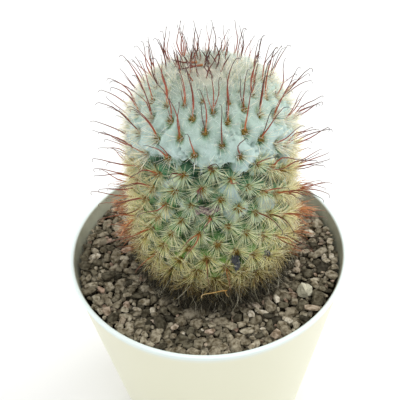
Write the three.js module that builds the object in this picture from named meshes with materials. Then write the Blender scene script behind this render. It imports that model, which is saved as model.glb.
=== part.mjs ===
// A silken pincushion cactus, grown in a round white pot of coarse lava grit.
// Millimetres, +Z up. The origin is the centre of the pot's foot, on the surface it stands on.
// The cactus is one grown piece: a tubercled stem with its spines and its buried root.
// Its white wool, the bed of grit, one pale stone on the bed and the pot are pieces of their own.

import * as THREE from "three";
import { ConvexHull } from "three/addons/math/ConvexHull.js";

const GAP = 0.3; // clearance between pieces that touch

// Pot: a tapered thin wall with a small lip, a foot ring and a drain hole.
const POT_HEIGHT = 105;
const POT_SIDES = 48;
const FOOT_RADIUS = 44;
const POT_TAPER = 0.165; // radius gained per millimetre of height
const POT_WALL = 1.6;
const FLOOR_TOP = 5.4;
const FOOT_RECESS = 2.6;
const FOOT_RING_WIDTH = 4.5;
const DRAIN_RADIUS = 5;
const LIP_DEPTH = 2.6;
const LIP_PROUD = 0.5;

// Grit: lava grit from the pot's floor to a little below the lip, its grains raised on top.
const GRIT_LEVEL = POT_HEIGHT - 7;
const GRIT_HOLLOW = 1.5; // how far the gaps between the grains lie below the level
const LARGE_GRAINS = 34;
const LARGE_GRAIN_SPACING = 8.4;
const SMALL_GRAIN_SPACING = 4.12;
const MIXED_GRAIN_SPACING = 5.6;
const GRAIN_MARGIN = 3.1; // least distance from a grain's middle to the pot or the root
const GRAIN_TRIES = 14000;

// Pale stone, lying on the grit at the front right.
const STONE_CENTRE = new THREE.Vector2(40, -26);
const STONE_SEAT_RADIUS = 4.6;
const STONE_SIZE = new THREE.Vector3(3, 3, 3.3);
const STONE_POINTS = 26;
// The broken faces that cut the stone from a ball: [x, y, z] out of each and its distance.
const STONE_FACES = [
  [[0.1, -0.5, 0.86], 0.74],
  [[-0.75, -0.5, 0.45], 0.7],
  [[0.8, -0.35, 0.5], 0.7],
  [[0.2, 0.85, 0.5], 0.62],
  [[0, 0, -1], 0.6],
  [[-0.6, 0.75, 0.2], 0.7],
  [[0.25, -0.95, -0.2], 0.75],
];

// Cactus stem: [radius, height above the grit] at the level of the tubercle tips, from the apex.
const STEM_X = 3;
const STEM_PROFILE = [
  [0, 98.5],
  [9, 97.4],
  [18, 93.6],
  [25.5, 86.5],
  [30, 76],
  [31.3, 62],
  [32, 48],
  [33, 33],
  [32.3, 19],
  [28.8, 8.5],
  [26.2, 4.8],
];
const GOLDEN_ANGLE = Math.PI * (3 - Math.sqrt(5));
const SPIRAL_START = 0;
const GROWN_PITCH = 9.35; // distance between grown tubercles
const YOUNG_SHARE = 0.42; // pitch at the apex as a share of the grown pitch
const GROWN_AFTER = 42; // distance from the apex at which the tubercles are full size
const CELL_SHARE = 0.9; // area of a tubercle as a share of its pitch squared
const TUBERCLE_SHARE = 0.42; // height of a tubercle as a share of its pitch
const APEX_BURIED = 3; // tubercles at the apex that are hidden in wool and bear no spine yet
const BASE_SIDES = 20;
const BASE_RADIUS = 22.5;
const BASE_HEIGHT = 2;
const ROOT_RADIUS = 20;
const ROOT_TIP_RADIUS = 9;
const ROOT_DEPTH = 30;

// Spines: each tubercle bears one hooked central, two straight upper centrals and a star of radials.
const HOOK_LENGTH = 19;
const YOUNG_HOOK_LENGTH = 9;
const HOOK_RADIUS = 0.32;
const HOOK_RISE = 38; // degrees by which an upper hooked spine rises above its tubercle's axis
const HOOK_LOW_RISE = 12;
const HOOK_STEEPEST = 84;
const HOOK_LOWEST = 2;
const HOOK_LEAN = 0.55; // how far those at the front of the crown lean back, as a share of length
const HOOK_TOP = 207.7; // highest elbow of a hooked spine
const HOOK_BARB = 2.4;
const STRAIGHT_LENGTH = 8;
const RADIAL_LENGTH = 6.2;
const RADIAL_RAISE = 35;
const RADIAL_TWIST = 17;
const RADIAL_ROOT_SHARE = 0.17;
const SPINE_FLOOR = 2.2; // lowest height of a spine tip above the grit
const SPINE_ROOM = 0.55; // least distance between the spines of two tubercles

// Wool: a soft net that fills the furrows between the upper tubercles and leaves their tips free.
const WOOL_FRONT_HEIGHT = 80;
const WOOL_BACK_HEIGHT = 62;
const WOOL_PUFF = 0.12; // how far the wool bulges past the tubercle tips, as a share of the pitch
const WOOL_HOLE = 1.7; // radius left free round a grown tubercle's tip
const WOOL_HOLE_LEAST = 0.85;
const WOOL_LIFT = 0.62; // height of the wool's underside over the tubercles

const { lerp, smoothstep, clamp, degToRad } = THREE.MathUtils;
const UP = new THREE.Vector3(0, 0, 1);
const TURN = 2 * Math.PI;

// A repeatable number from 0 to 1 for item i, with k to tell several numbers of one item apart.
function scatter(i, k) {
  const wave = Math.sin((i + 1) * 12.9898 + k * 78.233) * 43758.5453;
  return wave - Math.floor(wave);
}

// A repeatable number from -1 to 1.
function sway(i, k) {
  return 2 * scatter(i, k) - 1;
}

// Points and triangles of one closed surface.
class Shell {
  constructor() {
    this.positions = [];
    this.indices = [];
  }

  point(v) {
    this.positions.push(v.x, v.y, v.z);
    return this.positions.length / 3 - 1;
  }

  at(id) {
    return new THREE.Vector3().fromArray(this.positions, 3 * id);
  }

  triangle(a, b, c) {
    this.indices.push(a, b, c);
  }

  // A needle with its root on the triangle a, b, c.
  spike(a, b, c, tip) {
    const t = this.point(tip);
    this.triangle(a, b, t);
    this.triangle(b, c, t);
    this.triangle(c, a, t);
  }

  // A level ring of points, anticlockwise from above.
  ring(radius, z, sides, x = 0) {
    return Array.from({ length: sides }, (_, i) => {
      const angle = (2 * Math.PI * i) / sides;
      const place = new THREE.Vector3(x + radius * Math.cos(angle), radius * Math.sin(angle), z);
      return this.point(place);
    });
  }

  // The band between two rings of one count, facing right of the way from the first to the second.
  band(from, to) {
    from.forEach((a, i) => {
      const b = from[(i + 1) % from.length];
      const c = to[(i + 1) % to.length];
      const d = to[i];
      this.triangle(a, b, c);
      this.triangle(a, c, d);
    });
  }

  // A fan that closes a ring. It faces up, or down if asked.
  cap(ring, centre, down = false) {
    const hub = this.point(centre);
    ring.forEach((a, i) => {
      const b = ring[(i + 1) % ring.length];
      if (down) this.triangle(hub, b, a);
      else this.triangle(hub, a, b);
    });
  }

  geometry() {
    const made = new THREE.BufferGeometry();
    made.setAttribute("position", new THREE.Float32BufferAttribute(this.positions, 3));
    made.setIndex(this.indices);
    const faceted = made.toNonIndexed();
    faceted.computeVertexNormals();
    return faceted;
  }
}

// Joins two rings round one centre. A ring is a list of {id, angle}.
// It calls rim(inner, outerA, outerB) and hub(innerA, outer, innerB), all in the angle's sense.
function bridge(inner, outer, rim, hub) {
  const turn = 2 * Math.PI;
  const wrap = (angle) => ((angle % turn) + turn) % turn;
  const sorted = (ring) =>
    ring.map((p) => ({ id: p.id, angle: wrap(p.angle) })).sort((a, b) => a.angle - b.angle);
  const ins = sorted(inner);
  const outs = sorted(outer);
  const angleAt = (ring, k) => ring[k % ring.length].angle + turn * Math.floor(k / ring.length);
  const idAt = (ring, k) => ring[k % ring.length].id;
  let i = 0;
  let o = 0;
  while (i < ins.length || o < outs.length) {
    const innerNext = (angleAt(ins, i) + angleAt(ins, i + 1)) / 2;
    const outerNext = (angleAt(outs, o) + angleAt(outs, o + 1)) / 2;
    if (i >= ins.length || (o < outs.length && outerNext <= innerNext)) {
      rim(idAt(ins, i), idAt(outs, o), idAt(outs, o + 1));
      o += 1;
    } else {
      hub(idAt(ins, i), idAt(outs, o), idAt(ins, i + 1));
      i += 1;
    }
  }
}

// The nearest-neighbour triangles of points on a sphere, each anticlockwise from outside.
function neighbourTriangles(points) {
  const hull = new ConvexHull().setFromPoints(points);
  const indexOf = new Map(points.map((p, i) => [p, i]));
  return hull.faces.map((face) => {
    const corners = [];
    let edge = face.edge;
    do {
      corners.push(indexOf.get(edge.head().point));
      edge = edge.next;
    } while (edge !== face.edge);
    return corners;
  });
}

// For each point, the steps {triangle, from, next} round it, anticlockwise from outside.
function cellsOf(count, triangles) {
  const following = Array.from({ length: count }, () => new Map());
  triangles.forEach(([a, b, c], triangle) => {
    following[a].set(b, { triangle, from: b, next: c });
    following[b].set(c, { triangle, from: c, next: a });
    following[c].set(a, { triangle, from: a, next: b });
  });
  return following.map((steps) => {
    const cell = [];
    const first = steps.keys().next().value;
    let from = first;
    do {
      cell.push(steps.get(from));
      from = steps.get(from).next;
    } while (from !== first);
    return cell;
  });
}

// Pot

function potInside(z) {
  return FOOT_RADIUS + POT_TAPER * z - POT_WALL;
}

function buildPot() {
  const shell = new Shell();
  const wall = (z) => FOOT_RADIUS + POT_TAPER * z;
  const lipBottom = POT_HEIGHT - LIP_DEPTH;
  const ringInside = FOOT_RADIUS - FOOT_RING_WIDTH;
  const outline = [
    [DRAIN_RADIUS, FOOT_RECESS],
    [ringInside, FOOT_RECESS],
    [ringInside + 0.6, 0],
    [FOOT_RADIUS - 0.9, 0],
    [wall(0.9), 0.9],
    [wall(lipBottom), lipBottom],
    [wall(lipBottom) + LIP_PROUD, lipBottom + 0.5],
    [wall(POT_HEIGHT) + LIP_PROUD, POT_HEIGHT - 0.6],
    [wall(POT_HEIGHT), POT_HEIGHT],
    [potInside(POT_HEIGHT) + 0.5, POT_HEIGHT],
    [potInside(POT_HEIGHT - 0.6), POT_HEIGHT - 0.6],
    [potInside(FLOOR_TOP), FLOOR_TOP],
    [DRAIN_RADIUS, FLOOR_TOP],
  ];
  const rings = outline.map(([radius, z]) => shell.ring(radius, z, POT_SIDES));
  rings.forEach((ring, i) => shell.band(ring, rings[(i + 1) % rings.length]));
  return shell.geometry();
}

// Grit

function stoneSeatLevel() {
  return GRIT_LEVEL + 0.2;
}

// Least distance between two neighbouring grains.
function grainSpacing(large, otherLarge) {
  if (large && otherLarge) return LARGE_GRAIN_SPACING;
  return large || otherLarge ? MIXED_GRAIN_SPACING : SMALL_GRAIN_SPACING;
}

// Places for the grains: large ones first, then small ones in the room that is left.
function grainPlaces(outerRadius, innerRadius) {
  const grains = [];
  const nearest = innerRadius + GRAIN_MARGIN;
  const farthest = outerRadius - GRAIN_MARGIN;
  for (let index = 0; index < GRAIN_TRIES; index += 1) {
    const large = grains.length < LARGE_GRAINS;
    const radius = Math.sqrt(lerp(nearest ** 2, farthest ** 2, scatter(index, 1)));
    const angle = TURN * scatter(index, 2);
    const shift = (STEM_X * (farthest - radius)) / (farthest - nearest);
    const place = new THREE.Vector2(shift + radius * Math.cos(angle), radius * Math.sin(angle));
    const spaced = grains.every(
      (other) => other.place.distanceTo(place) >= grainSpacing(large, other.large),
    );
    if (spaced && place.length() < farthest) grains.push({ place, large, index });
  }
  return grains;
}

function buildGrit() {
  const shell = new Shell();
  const gapLevel = GRIT_LEVEL - GRIT_HOLLOW;
  const outerRadius = potInside(gapLevel) - GAP;
  const innerRadius = ROOT_RADIUS + GAP;
  const outer = shell.ring(outerRadius, gapLevel, POT_SIDES);
  const inner = shell.ring(innerRadius, gapLevel, BASE_SIDES, STEM_X);
  const grains = grainPlaces(outerRadius, innerRadius);
  const grainIds = grains.map(({ place, large, index }) => {
    const nearStem = place.distanceTo(new THREE.Vector2(STEM_X, 0)) < 37;
    const nearStone = place.distanceTo(STONE_CENTRE) < STONE_SEAT_RADIUS;
    const raised = large ? 1.3 + 1.4 * scatter(index, 3) : 0.2 + 1.5 * scatter(index, 3);
    let level = GRIT_LEVEL + (nearStem ? 0.5 * raised : raised);
    if (nearStone) level = stoneSeatLevel() - 0.3 * scatter(index, 4);
    return shell.point(new THREE.Vector3(place.x, place.y, level));
  });

  // The flat places are wrapped on a sphere, where the hull's faces join nearest neighbours.
  const scale = 35;
  const ids = [...outer, ...inner, ...grainIds];
  const wrapped = ids.map((id) => {
    const p = shell.at(id);
    const flat = new THREE.Vector2((p.x - STEM_X / 2) / scale, p.y / scale);
    const q = flat.lengthSq();
    return new THREE.Vector3((2 * flat.x) / (1 + q), (2 * flat.y) / (1 + q), (1 - q) / (1 + q));
  });
  const helpers = [new THREE.Vector3(0, 0, 1), new THREE.Vector3(0, 0, -1)];
  const triangles = neighbourTriangles([...wrapped, ...helpers]).filter((corners) =>
    corners.every((corner) => corner < ids.length),
  );
  const valleys = triangles.map((corners, k) => {
    const middle = new THREE.Vector3();
    corners.forEach((corner) => middle.addScaledVector(shell.at(ids[corner]), 1 / 3));
    middle.z = gapLevel + 0.5 * scatter(k, 5);
    return shell.point(middle);
  });
  const beside = new Map();
  triangles.forEach((corners, k) => {
    corners.forEach((a, i) => beside.set(`${a} ${corners[(i + 1) % 3]}`, k));
  });
  beside.forEach((left, key) => {
    const [a, b] = key.split(" ").map(Number);
    const right = beside.get(`${b} ${a}`);
    if (right === undefined) shell.triangle(ids[a], ids[b], valleys[left]);
    else shell.triangle(ids[a], valleys[right], valleys[left]);
  });

  const bottom = FLOOR_TOP + GAP;
  const foot = shell.ring(potInside(bottom) - GAP, bottom, POT_SIDES);
  shell.band(foot, outer);
  shell.cap(foot, new THREE.Vector3(0, 0, bottom), true);
  const holeDepth = GRIT_LEVEL - ROOT_DEPTH - GAP;
  const hole = shell.ring(ROOT_TIP_RADIUS + GAP, holeDepth, BASE_SIDES, STEM_X);
  shell.band(inner, hole);
  shell.cap(hole, new THREE.Vector3(STEM_X, 0, holeDepth));
  return shell.geometry();
}

// Pale stone

function buildStone() {
  const seat = stoneSeatLevel() + GAP;
  const points = [];
  const faces = STONE_FACES.map(([out, distance]) => ({
    out: new THREE.Vector3(...out).normalize(),
    distance,
  }));
  for (let i = 0; i < STONE_POINTS; i += 1) {
    const level = 1 - (2 * (i + 0.5)) / STONE_POINTS;
    const around = Math.sqrt(1 - level * level);
    const angle = i * GOLDEN_ANGLE;
    const out = new THREE.Vector3(around * Math.cos(angle), around * Math.sin(angle), level);
    const cuts = faces
      .filter((face) => out.dot(face.out) > 0.05)
      .map((face) => face.distance / out.dot(face.out));
    const place = out.multiplyScalar(Math.min(1, ...cuts)).multiply(STONE_SIZE);
    place.x += STONE_CENTRE.x;
    place.y += STONE_CENTRE.y;
    points.push(place);
  }
  const lowest = Math.min(...points.map((p) => p.z));
  points.forEach((p) => {
    p.z += seat - lowest;
  });
  const shell = new Shell();
  points.forEach((p) => shell.point(p));
  neighbourTriangles(points).forEach(([a, b, c]) => shell.triangle(a, b, c));
  return shell.geometry();
}

// Cactus

// The stem's side, sampled from the apex: place, way along it, turn of the sphere and tubercles.
function stemSide() {
  const marks = STEM_PROFILE.map(([radius, height]) => new THREE.Vector3(radius, height, 0));
  const curve = new THREE.CatmullRomCurve3(marks, false, "centripetal");
  const side = [];
  let way = 0;
  let wind = 0;
  let grown = 0;
  let before = null;
  curve.getPoints(150 * STEM_PROFILE.length).forEach((here) => {
    if (before) {
      const step = here.distanceTo(before);
      const radius = (here.x + before.x) / 2;
      way += step;
      wind = before.x > 0 ? wind + step / radius : Math.log(here.x);
      const pitch = pitchAt(way);
      grown += (2 * Math.PI * radius * step) / (CELL_SHARE * pitch * pitch);
      side.push({ radius: here.x, height: here.y, way, wind, grown });
    }
    before = here;
  });
  return side;
}

function pitchAt(way) {
  return GROWN_PITCH * lerp(YOUNG_SHARE, 1, smoothstep(way, 0, GROWN_AFTER));
}

// The tubercles, from the apex down, in the spiral that each new one takes by the golden angle.
function tubercles() {
  const side = stemSide();
  const last = side[side.length - 1];
  const found = [];
  let k = 1;
  for (let i = 0; i + 0.5 < last.grown; i += 1) {
    while (side[k].grown < i + 0.5) k += 1;
    const share = (i + 0.5 - side[k - 1].grown) / (side[k].grown - side[k - 1].grown);
    const value = (name) => lerp(side[k - 1][name], side[k][name], share);
    const slope = new THREE.Vector2(
      side[k].radius - side[k - 1].radius,
      side[k].height - side[k - 1].height,
    ).normalize();
    const angle = SPIRAL_START - i * GOLDEN_ANGLE;
    const out = new THREE.Vector3(Math.cos(angle), Math.sin(angle), 0);
    const tip = out.clone().multiplyScalar(value("radius"));
    tip.x += STEM_X;
    tip.z = GRIT_LEVEL + value("height");
    const axis = out.clone().multiplyScalar(-slope.y).addScaledVector(UP, slope.x);
    const across = new THREE.Vector3().crossVectors(UP, out).normalize();
    const upward = new THREE.Vector3().crossVectors(axis, across).normalize();
    const height = value("height");
    const pitch = pitchAt(value("way"));
    const wind = value("wind");
    found.push({ index: i, tip, axis, across, upward, out, angle, height, pitch, wind });
  }
  return { found, last };
}

function woolly(tubercle) {
  const facing = 0.5 - 0.5 * Math.sin(tubercle.angle);
  const front = facing ** 2;
  const edge = lerp(WOOL_BACK_HEIGHT, WOOL_FRONT_HEIGHT, front);
  return tubercle.height + 2.5 * sway(tubercle.index, 11) > edge;
}

// The lattice shared by the stem and the wool: tubercles, their cells and the furrow points.
function stemLattice() {
  const { found, last } = tubercles();
  const winding = (wind) => 2 * Math.atan(Math.exp(wind - last.wind + 1.15));
  const onSphere = (turn, angle) =>
    new THREE.Vector3(
      Math.sin(turn) * Math.cos(angle),
      Math.sin(turn) * Math.sin(angle),
      Math.cos(turn),
    );
  const sphere = found.map((t) => onSphere(winding(t.wind), t.angle));
  const baseTurn = winding(last.wind + 0.2);
  const basePlaces = [];
  for (let i = 0; i < BASE_SIDES; i += 1) {
    const angle = (2 * Math.PI * i) / BASE_SIDES;
    sphere.push(onSphere(baseTurn, angle));
    const x = STEM_X + BASE_RADIUS * Math.cos(angle);
    basePlaces.push(new THREE.Vector3(x, BASE_RADIUS * Math.sin(angle), GRIT_LEVEL + BASE_HEIGHT));
  }
  sphere.push(new THREE.Vector3(0, 0, -1));
  const count = found.length;
  const triangles = neighbourTriangles(sphere);
  const cells = cellsOf(sphere.length, triangles).slice(0, count);
  const furrows = triangles.map((corners, k) => {
    if (corners.includes(sphere.length - 1)) return null;
    const real = corners.filter((corner) => corner < count);
    const level = new THREE.Vector3();
    const axis = new THREE.Vector3();
    let pitch = 0;
    corners.forEach((corner) => {
      const place = corner < count ? found[corner].tip : basePlaces[corner - count];
      level.addScaledVector(place, 1 / 3);
    });
    real.forEach((corner) => {
      axis.add(found[corner].axis);
      pitch += found[corner].pitch / real.length;
    });
    axis.normalize();
    const depth = TUBERCLE_SHARE * pitch * (real.length === 3 ? 1 : 0.45);
    const floor = level.clone().addScaledVector(axis, -depth * (0.92 + 0.16 * scatter(k, 12)));
    return { level, axis, pitch, floor };
  });
  return { found, cells, triangles, furrows, count };
}

// Direction of a tubercle's hooked spine: along its axis, tilted upward, never into the grit.
// Those at the front of the crown lean back over it.
function hookDirection(t) {
  const steep = THREE.MathUtils.radToDeg(Math.asin(clamp(t.axis.z, -1, 1)));
  const high = smoothstep(t.height, 40, 72);
  const rise = lerp(HOOK_LOW_RISE, HOOK_RISE, high) + 7 * sway(t.index, 21);
  const angle = degToRad(clamp(steep + rise, HOOK_LOWEST, HOOK_STEEPEST));
  const turn = degToRad(6 * sway(t.index, 22));
  const lean = HOOK_LEAN * smoothstep(t.height, 76, 86) * Math.max(0, -t.out.y);
  const direction = t.out.clone().applyAxisAngle(UP, turn).multiplyScalar(Math.cos(angle));
  return direction.add(new THREE.Vector3(0, lean, Math.sin(angle))).normalize();
}

// The way of a hooked central: its middle, its elbow and the tip of its barb.
function hookWay(t) {
  const direction = hookDirection(t);
  const young = 1 - smoothstep(t.pitch, 0.45 * GROWN_PITCH, 0.72 * GROWN_PITCH);
  const grownLength = lerp(HOOK_LENGTH, YOUNG_HOOK_LENGTH, young);
  const room = (HOOK_TOP - t.tip.z) / direction.z;
  const length = Math.min(grownLength * (0.88 + 0.24 * scatter(t.index, 23)), room);
  const radius = HOOK_RADIUS * lerp(1, 0.75, young);
  const bend = new THREE.Vector3().crossVectors(direction, t.across).multiplyScalar(-1);
  const elbow = t.tip.clone().addScaledVector(direction, length);
  elbow.addScaledVector(bend, 0.06 * length);
  const middle = t.tip.clone().addScaledVector(direction, 0.5 * length);
  middle.addScaledVector(bend, -0.02 * length);
  const spin = 2 * Math.PI * scatter(t.index, 24);
  const lean = bend.clone().applyAxisAngle(direction, spin);
  const barb = lean.addScaledVector(direction, -0.15).normalize();
  const tip = elbow.clone().addScaledVector(barb, HOOK_BARB * lerp(1, 0.5, young));
  return { direction, middle, elbow, barb, tip, radius };
}

// The hooked central: a three-sided spine that leans back near its end and turns into a barb.
function addHook(shell, t, root) {
  const { direction, middle, elbow, barb, tip, radius } = t.hook;
  const ringAt = (centre, size, facing) =>
    root.map((id) => {
      const away = shell.at(id).sub(t.tip);
      away.addScaledVector(direction, -away.dot(direction)).normalize().multiplyScalar(size);
      away.addScaledVector(direction, -away.dot(facing) / direction.dot(facing));
      return shell.point(centre.clone().add(away));
    });
  const low = ringAt(middle, 0.9 * radius, direction);
  const high = ringAt(elbow, 0.8 * radius, direction.clone().add(barb).normalize());
  shell.band(root, low);
  shell.band(low, high);
  shell.spike(high[0], high[1], high[2], tip);
}

// Spines placed so far, so that each new one ends short of those of other tubercles.
class SpineField {
  constructor() {
    this.lines = [];
  }

  add(owner, from, to) {
    this.lines.push({ owner, line: new THREE.Line3(from, to) });
  }

  // The longest clear share of a spine that stays above the grit, or 0 if there is none.
  clearShare(owner, from, to) {
    const near = new THREE.Vector3();
    const steps = 16;
    for (let k = 1; k <= steps; k += 1) {
      const here = from.clone().lerp(to, k / steps);
      const blocked = this.lines.some(
        (other) =>
          other.owner !== owner &&
          other.line.closestPointToPoint(here, true, near).distanceTo(here) < SPINE_ROOM,
      );
      if (blocked || here.z < GRIT_LEVEL + SPINE_FLOOR) return k > 9 ? (k - 2) / steps : 0;
    }
    return 1;
  }
}

// Straight spine from a tubercle: turn is its way round the axis and raise its slope, in radians.
function spineTip(t, turn, raise, length) {
  const flat = t.across.clone().multiplyScalar(Math.cos(turn));
  flat.addScaledVector(t.upward, Math.sin(turn));
  const aim = flat.multiplyScalar(Math.cos(raise)).addScaledVector(t.axis, Math.sin(raise));
  return t.tip.clone().addScaledVector(aim, length);
}

function turnAbout(t, place) {
  const away = place.clone().sub(t.tip);
  return Math.atan2(away.dot(t.upward), away.dot(t.across));
}

function addTubercle(shell, t, cell, furrowIds, spines) {
  const ring = cell.map((step) => {
    const id = furrowIds[step.triangle];
    return { id, angle: turnAbout(t, shell.at(id)) };
  });
  if (t.index < APEX_BURIED) {
    const top = shell.point(t.tip);
    ring.forEach((p, i) => shell.triangle(top, p.id, ring[(i + 1) % ring.length].id));
    return;
  }
  const radius = Math.min(HOOK_RADIUS, 0.07 * t.pitch);
  const root = [0, 1, 2].map((i) => {
    const angle = Math.PI / 2 + (2 * Math.PI * i) / 3;
    const place = t.tip.clone().addScaledVector(t.across, radius * Math.cos(angle));
    place.addScaledVector(t.upward, radius * Math.sin(angle));
    return { id: shell.point(place), angle };
  });
  const face = (a, b, c) => shell.triangle(a, b, c);
  if (woolly(t)) {
    bridge(root, ring, face, face);
  } else {
    const shoulder = ring.map((p) => {
      const place = t.tip.clone().lerp(shell.at(p.id), RADIAL_ROOT_SHARE);
      return { id: shell.point(place), angle: p.angle };
    });
    ring.forEach((p, i) => {
      const j = (i + 1) % ring.length;
      shell.triangle(shoulder[i].id, p.id, ring[j].id);
      shell.triangle(shoulder[i].id, ring[j].id, shoulder[j].id);
    });
    const angleOf = new Map([...shoulder, ...root].map((p) => [p.id, p.angle]));
    let made = 0;
    const place = (a, b, c, turn, raise, length) => {
      const tip = spineTip(t, turn, raise, length);
      const share = spines.clearShare(t.index, t.tip, tip);
      if (share === 0) {
        shell.triangle(a, b, c);
        return;
      }
      const end = t.tip.clone().lerp(tip, share);
      spines.add(t.index, t.tip, end);
      shell.spike(a, b, c, end);
    };
    const radial = (a, b, c) => {
      const key = 40 * t.index + made;
      made += 1;
      const between = angleOf.get(c) - angleOf.get(b);
      const half = (((between % TURN) + TURN) % TURN) / 2;
      const turn = angleOf.get(b) + half + degToRad(RADIAL_TWIST + 4 * sway(key, 31));
      const raise = degToRad(RADIAL_RAISE + 5 * sway(key, 32));
      place(a, b, c, turn, raise, RADIAL_LENGTH * (0.9 + 0.2 * scatter(key, 33)));
    };
    const straight = (a, b, c) => {
      const key = 40 * t.index + made;
      made += 1;
      const turn = angleOf.get(b) + degToRad(12 * sway(key, 34));
      const raise = degToRad(58 + 4 * sway(key, 35));
      const length = STRAIGHT_LENGTH * (0.85 + 0.25 * scatter(key, 36));
      const upper = Math.sin(turn) > -0.2 && t.height > 12;
      if (upper) place(a, b, c, turn, raise, length);
      else shell.triangle(a, b, c);
    };
    bridge(root, shoulder, radial, straight);
  }
  addHook(shell, t, root.map((p) => p.id));
}

// The open edge of the tubercled surface near the grit, in order, clockwise from above.
function lowerEdge(lattice) {
  const { cells, count } = lattice;
  const next = new Map();
  for (let i = 0; i < count; i += 1) {
    const cell = cells[i];
    cell.forEach((step, j) => {
      if (step.next >= count) next.set(step.triangle, cell[(j + 1) % cell.length].triangle);
    });
  }
  const first = next.keys().next().value;
  const loop = [];
  let at = first;
  do {
    loop.push(at);
    at = next.get(at);
  } while (at !== first);
  return loop;
}

function buildCactus(lattice) {
  const { found, cells, furrows } = lattice;
  const shell = new Shell();
  const furrowIds = furrows.map((furrow) => (furrow ? shell.point(furrow.floor) : -1));
  const spines = new SpineField();
  found.forEach((t) => {
    t.hook = hookWay(t);
    if (t.index < APEX_BURIED) return;
    spines.add(t.index, t.tip, t.hook.middle);
    spines.add(t.index, t.hook.middle, t.hook.elbow);
    spines.add(t.index, t.hook.elbow, t.hook.tip);
  });
  found.forEach((t, i) => addTubercle(shell, t, cells[i], furrowIds, spines));
  const neck = shell.ring(BASE_RADIUS - 0.6, GRIT_LEVEL + BASE_HEIGHT - 0.6, BASE_SIDES, STEM_X);
  const around = (id) => {
    const p = shell.at(id);
    return { id, angle: -Math.atan2(p.y, p.x - STEM_X) };
  };
  const edge = lowerEdge(lattice).map((k) => around(furrowIds[k]));
  const face = (a, b, c) => shell.triangle(a, b, c);
  bridge(neck.map(around), edge, face, face);
  const collar = shell.ring(ROOT_RADIUS, GRIT_LEVEL - GRIT_HOLLOW, BASE_SIDES, STEM_X);
  const end = shell.ring(ROOT_TIP_RADIUS, GRIT_LEVEL - ROOT_DEPTH, BASE_SIDES, STEM_X);
  shell.band(collar, neck);
  shell.band(end, collar);
  shell.cap(end, new THREE.Vector3(STEM_X, 0, GRIT_LEVEL - ROOT_DEPTH), true);
  return shell.geometry();
}

// Wool

function buildWool(lattice) {
  const { found, cells, furrows, count, triangles } = lattice;
  const shell = new Shell();
  const inWool = found.map(woolly);
  const isWool = (i) => i < count && inWool[i];
  const tops = new Map();
  const bottoms = new Map();
  furrows.forEach((furrow, k) => {
    const members = triangles[k].filter(isWool).length;
    if (!furrow || members === 0) return;
    const round = (furrow.pitch * furrow.pitch) / 190;
    const puff = WOOL_PUFF * furrow.pitch * (0.6 + 0.8 * scatter(k, 41));
    const full = furrow.level.clone().addScaledVector(furrow.axis, round + puff);
    const thin = furrow.floor.clone().addScaledVector(furrow.axis, 0.5 * furrow.pitch * 0.42 + 0.6);
    tops.set(k, shell.point(members === 3 ? full : thin));
    bottoms.set(k, shell.point(furrow.floor.clone().addScaledVector(furrow.axis, WOOL_LIFT)));
  });
  found.forEach((t, i) => {
    if (!inWool[i]) return;
    const cell = cells[i];
    if (i < APEX_BURIED) {
      const over = shell.point(t.tip.clone().addScaledVector(t.axis, 2));
      const under = shell.point(t.tip.clone().addScaledVector(t.axis, WOOL_LIFT));
      cell.forEach((step, j) => {
        const k = step.triangle;
        const l = cell[(j + 1) % cell.length].triangle;
        shell.triangle(over, tops.get(k), tops.get(l));
        shell.triangle(under, bottoms.get(l), bottoms.get(k));
      });
      return;
    }
    const young = clamp(t.pitch / GROWN_PITCH, 0, 1);
    const free = Math.max(WOOL_HOLE * young, WOOL_HOLE_LEAST);
    const hole = cell.map((step) => {
      const away = furrows[step.triangle].floor.clone().sub(t.tip);
      const flat = away.clone().addScaledVector(t.axis, -away.dot(t.axis)).length();
      const place = t.tip.clone().addScaledVector(away, free / flat);
      return shell.point(place.addScaledVector(t.axis, WOOL_LIFT));
    });
    cell.forEach((step, j) => {
      const m = (j + 1) % cell.length;
      const k = step.triangle;
      const l = cell[m].triangle;
      shell.triangle(hole[j], tops.get(k), tops.get(l));
      shell.triangle(hole[j], tops.get(l), hole[m]);
      shell.triangle(hole[j], bottoms.get(l), bottoms.get(k));
      shell.triangle(hole[j], hole[m], bottoms.get(l));
      if (!isWool(step.next)) {
        shell.triangle(tops.get(k), bottoms.get(k), bottoms.get(l));
        shell.triangle(tops.get(k), bottoms.get(l), tops.get(l));
      }
    });
  });
  return shell.geometry();
}

function piece(name, geometry, color, roughness) {
  const material = new THREE.MeshStandardMaterial({ color, roughness, metalness: 0 });
  const mesh = new THREE.Mesh(geometry, material);
  mesh.name = name;
  return mesh;
}

const lattice = stemLattice();
const plant = new THREE.Group();
plant.name = "silken_pincushion_cactus";
plant.add(piece("pot", buildPot(), 0xeeeede, 0.3));
plant.add(piece("grit", buildGrit(), 0x796e5c, 0.95));
plant.add(piece("pale_stone", buildStone(), 0xc9bda6, 0.85));
plant.add(piece("cactus", buildCactus(lattice), 0x8f8a62, 0.75));
plant.add(piece("wool", buildWool(lattice), 0xd3d9ce, 1));

export default plant;
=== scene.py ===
"""The looks of a potted silken pincushion cactus: skin, wool, spines, lava grit and pot.

Shapes are worked out in millimetres and turned to metres as each piece is finished.
Heights of the plant are counted from the grit, as in the part's own source.
"""
import math

import bmesh
import bpy
import numpy as np
from mathutils import Matrix, Vector, kdtree, noise


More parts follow.
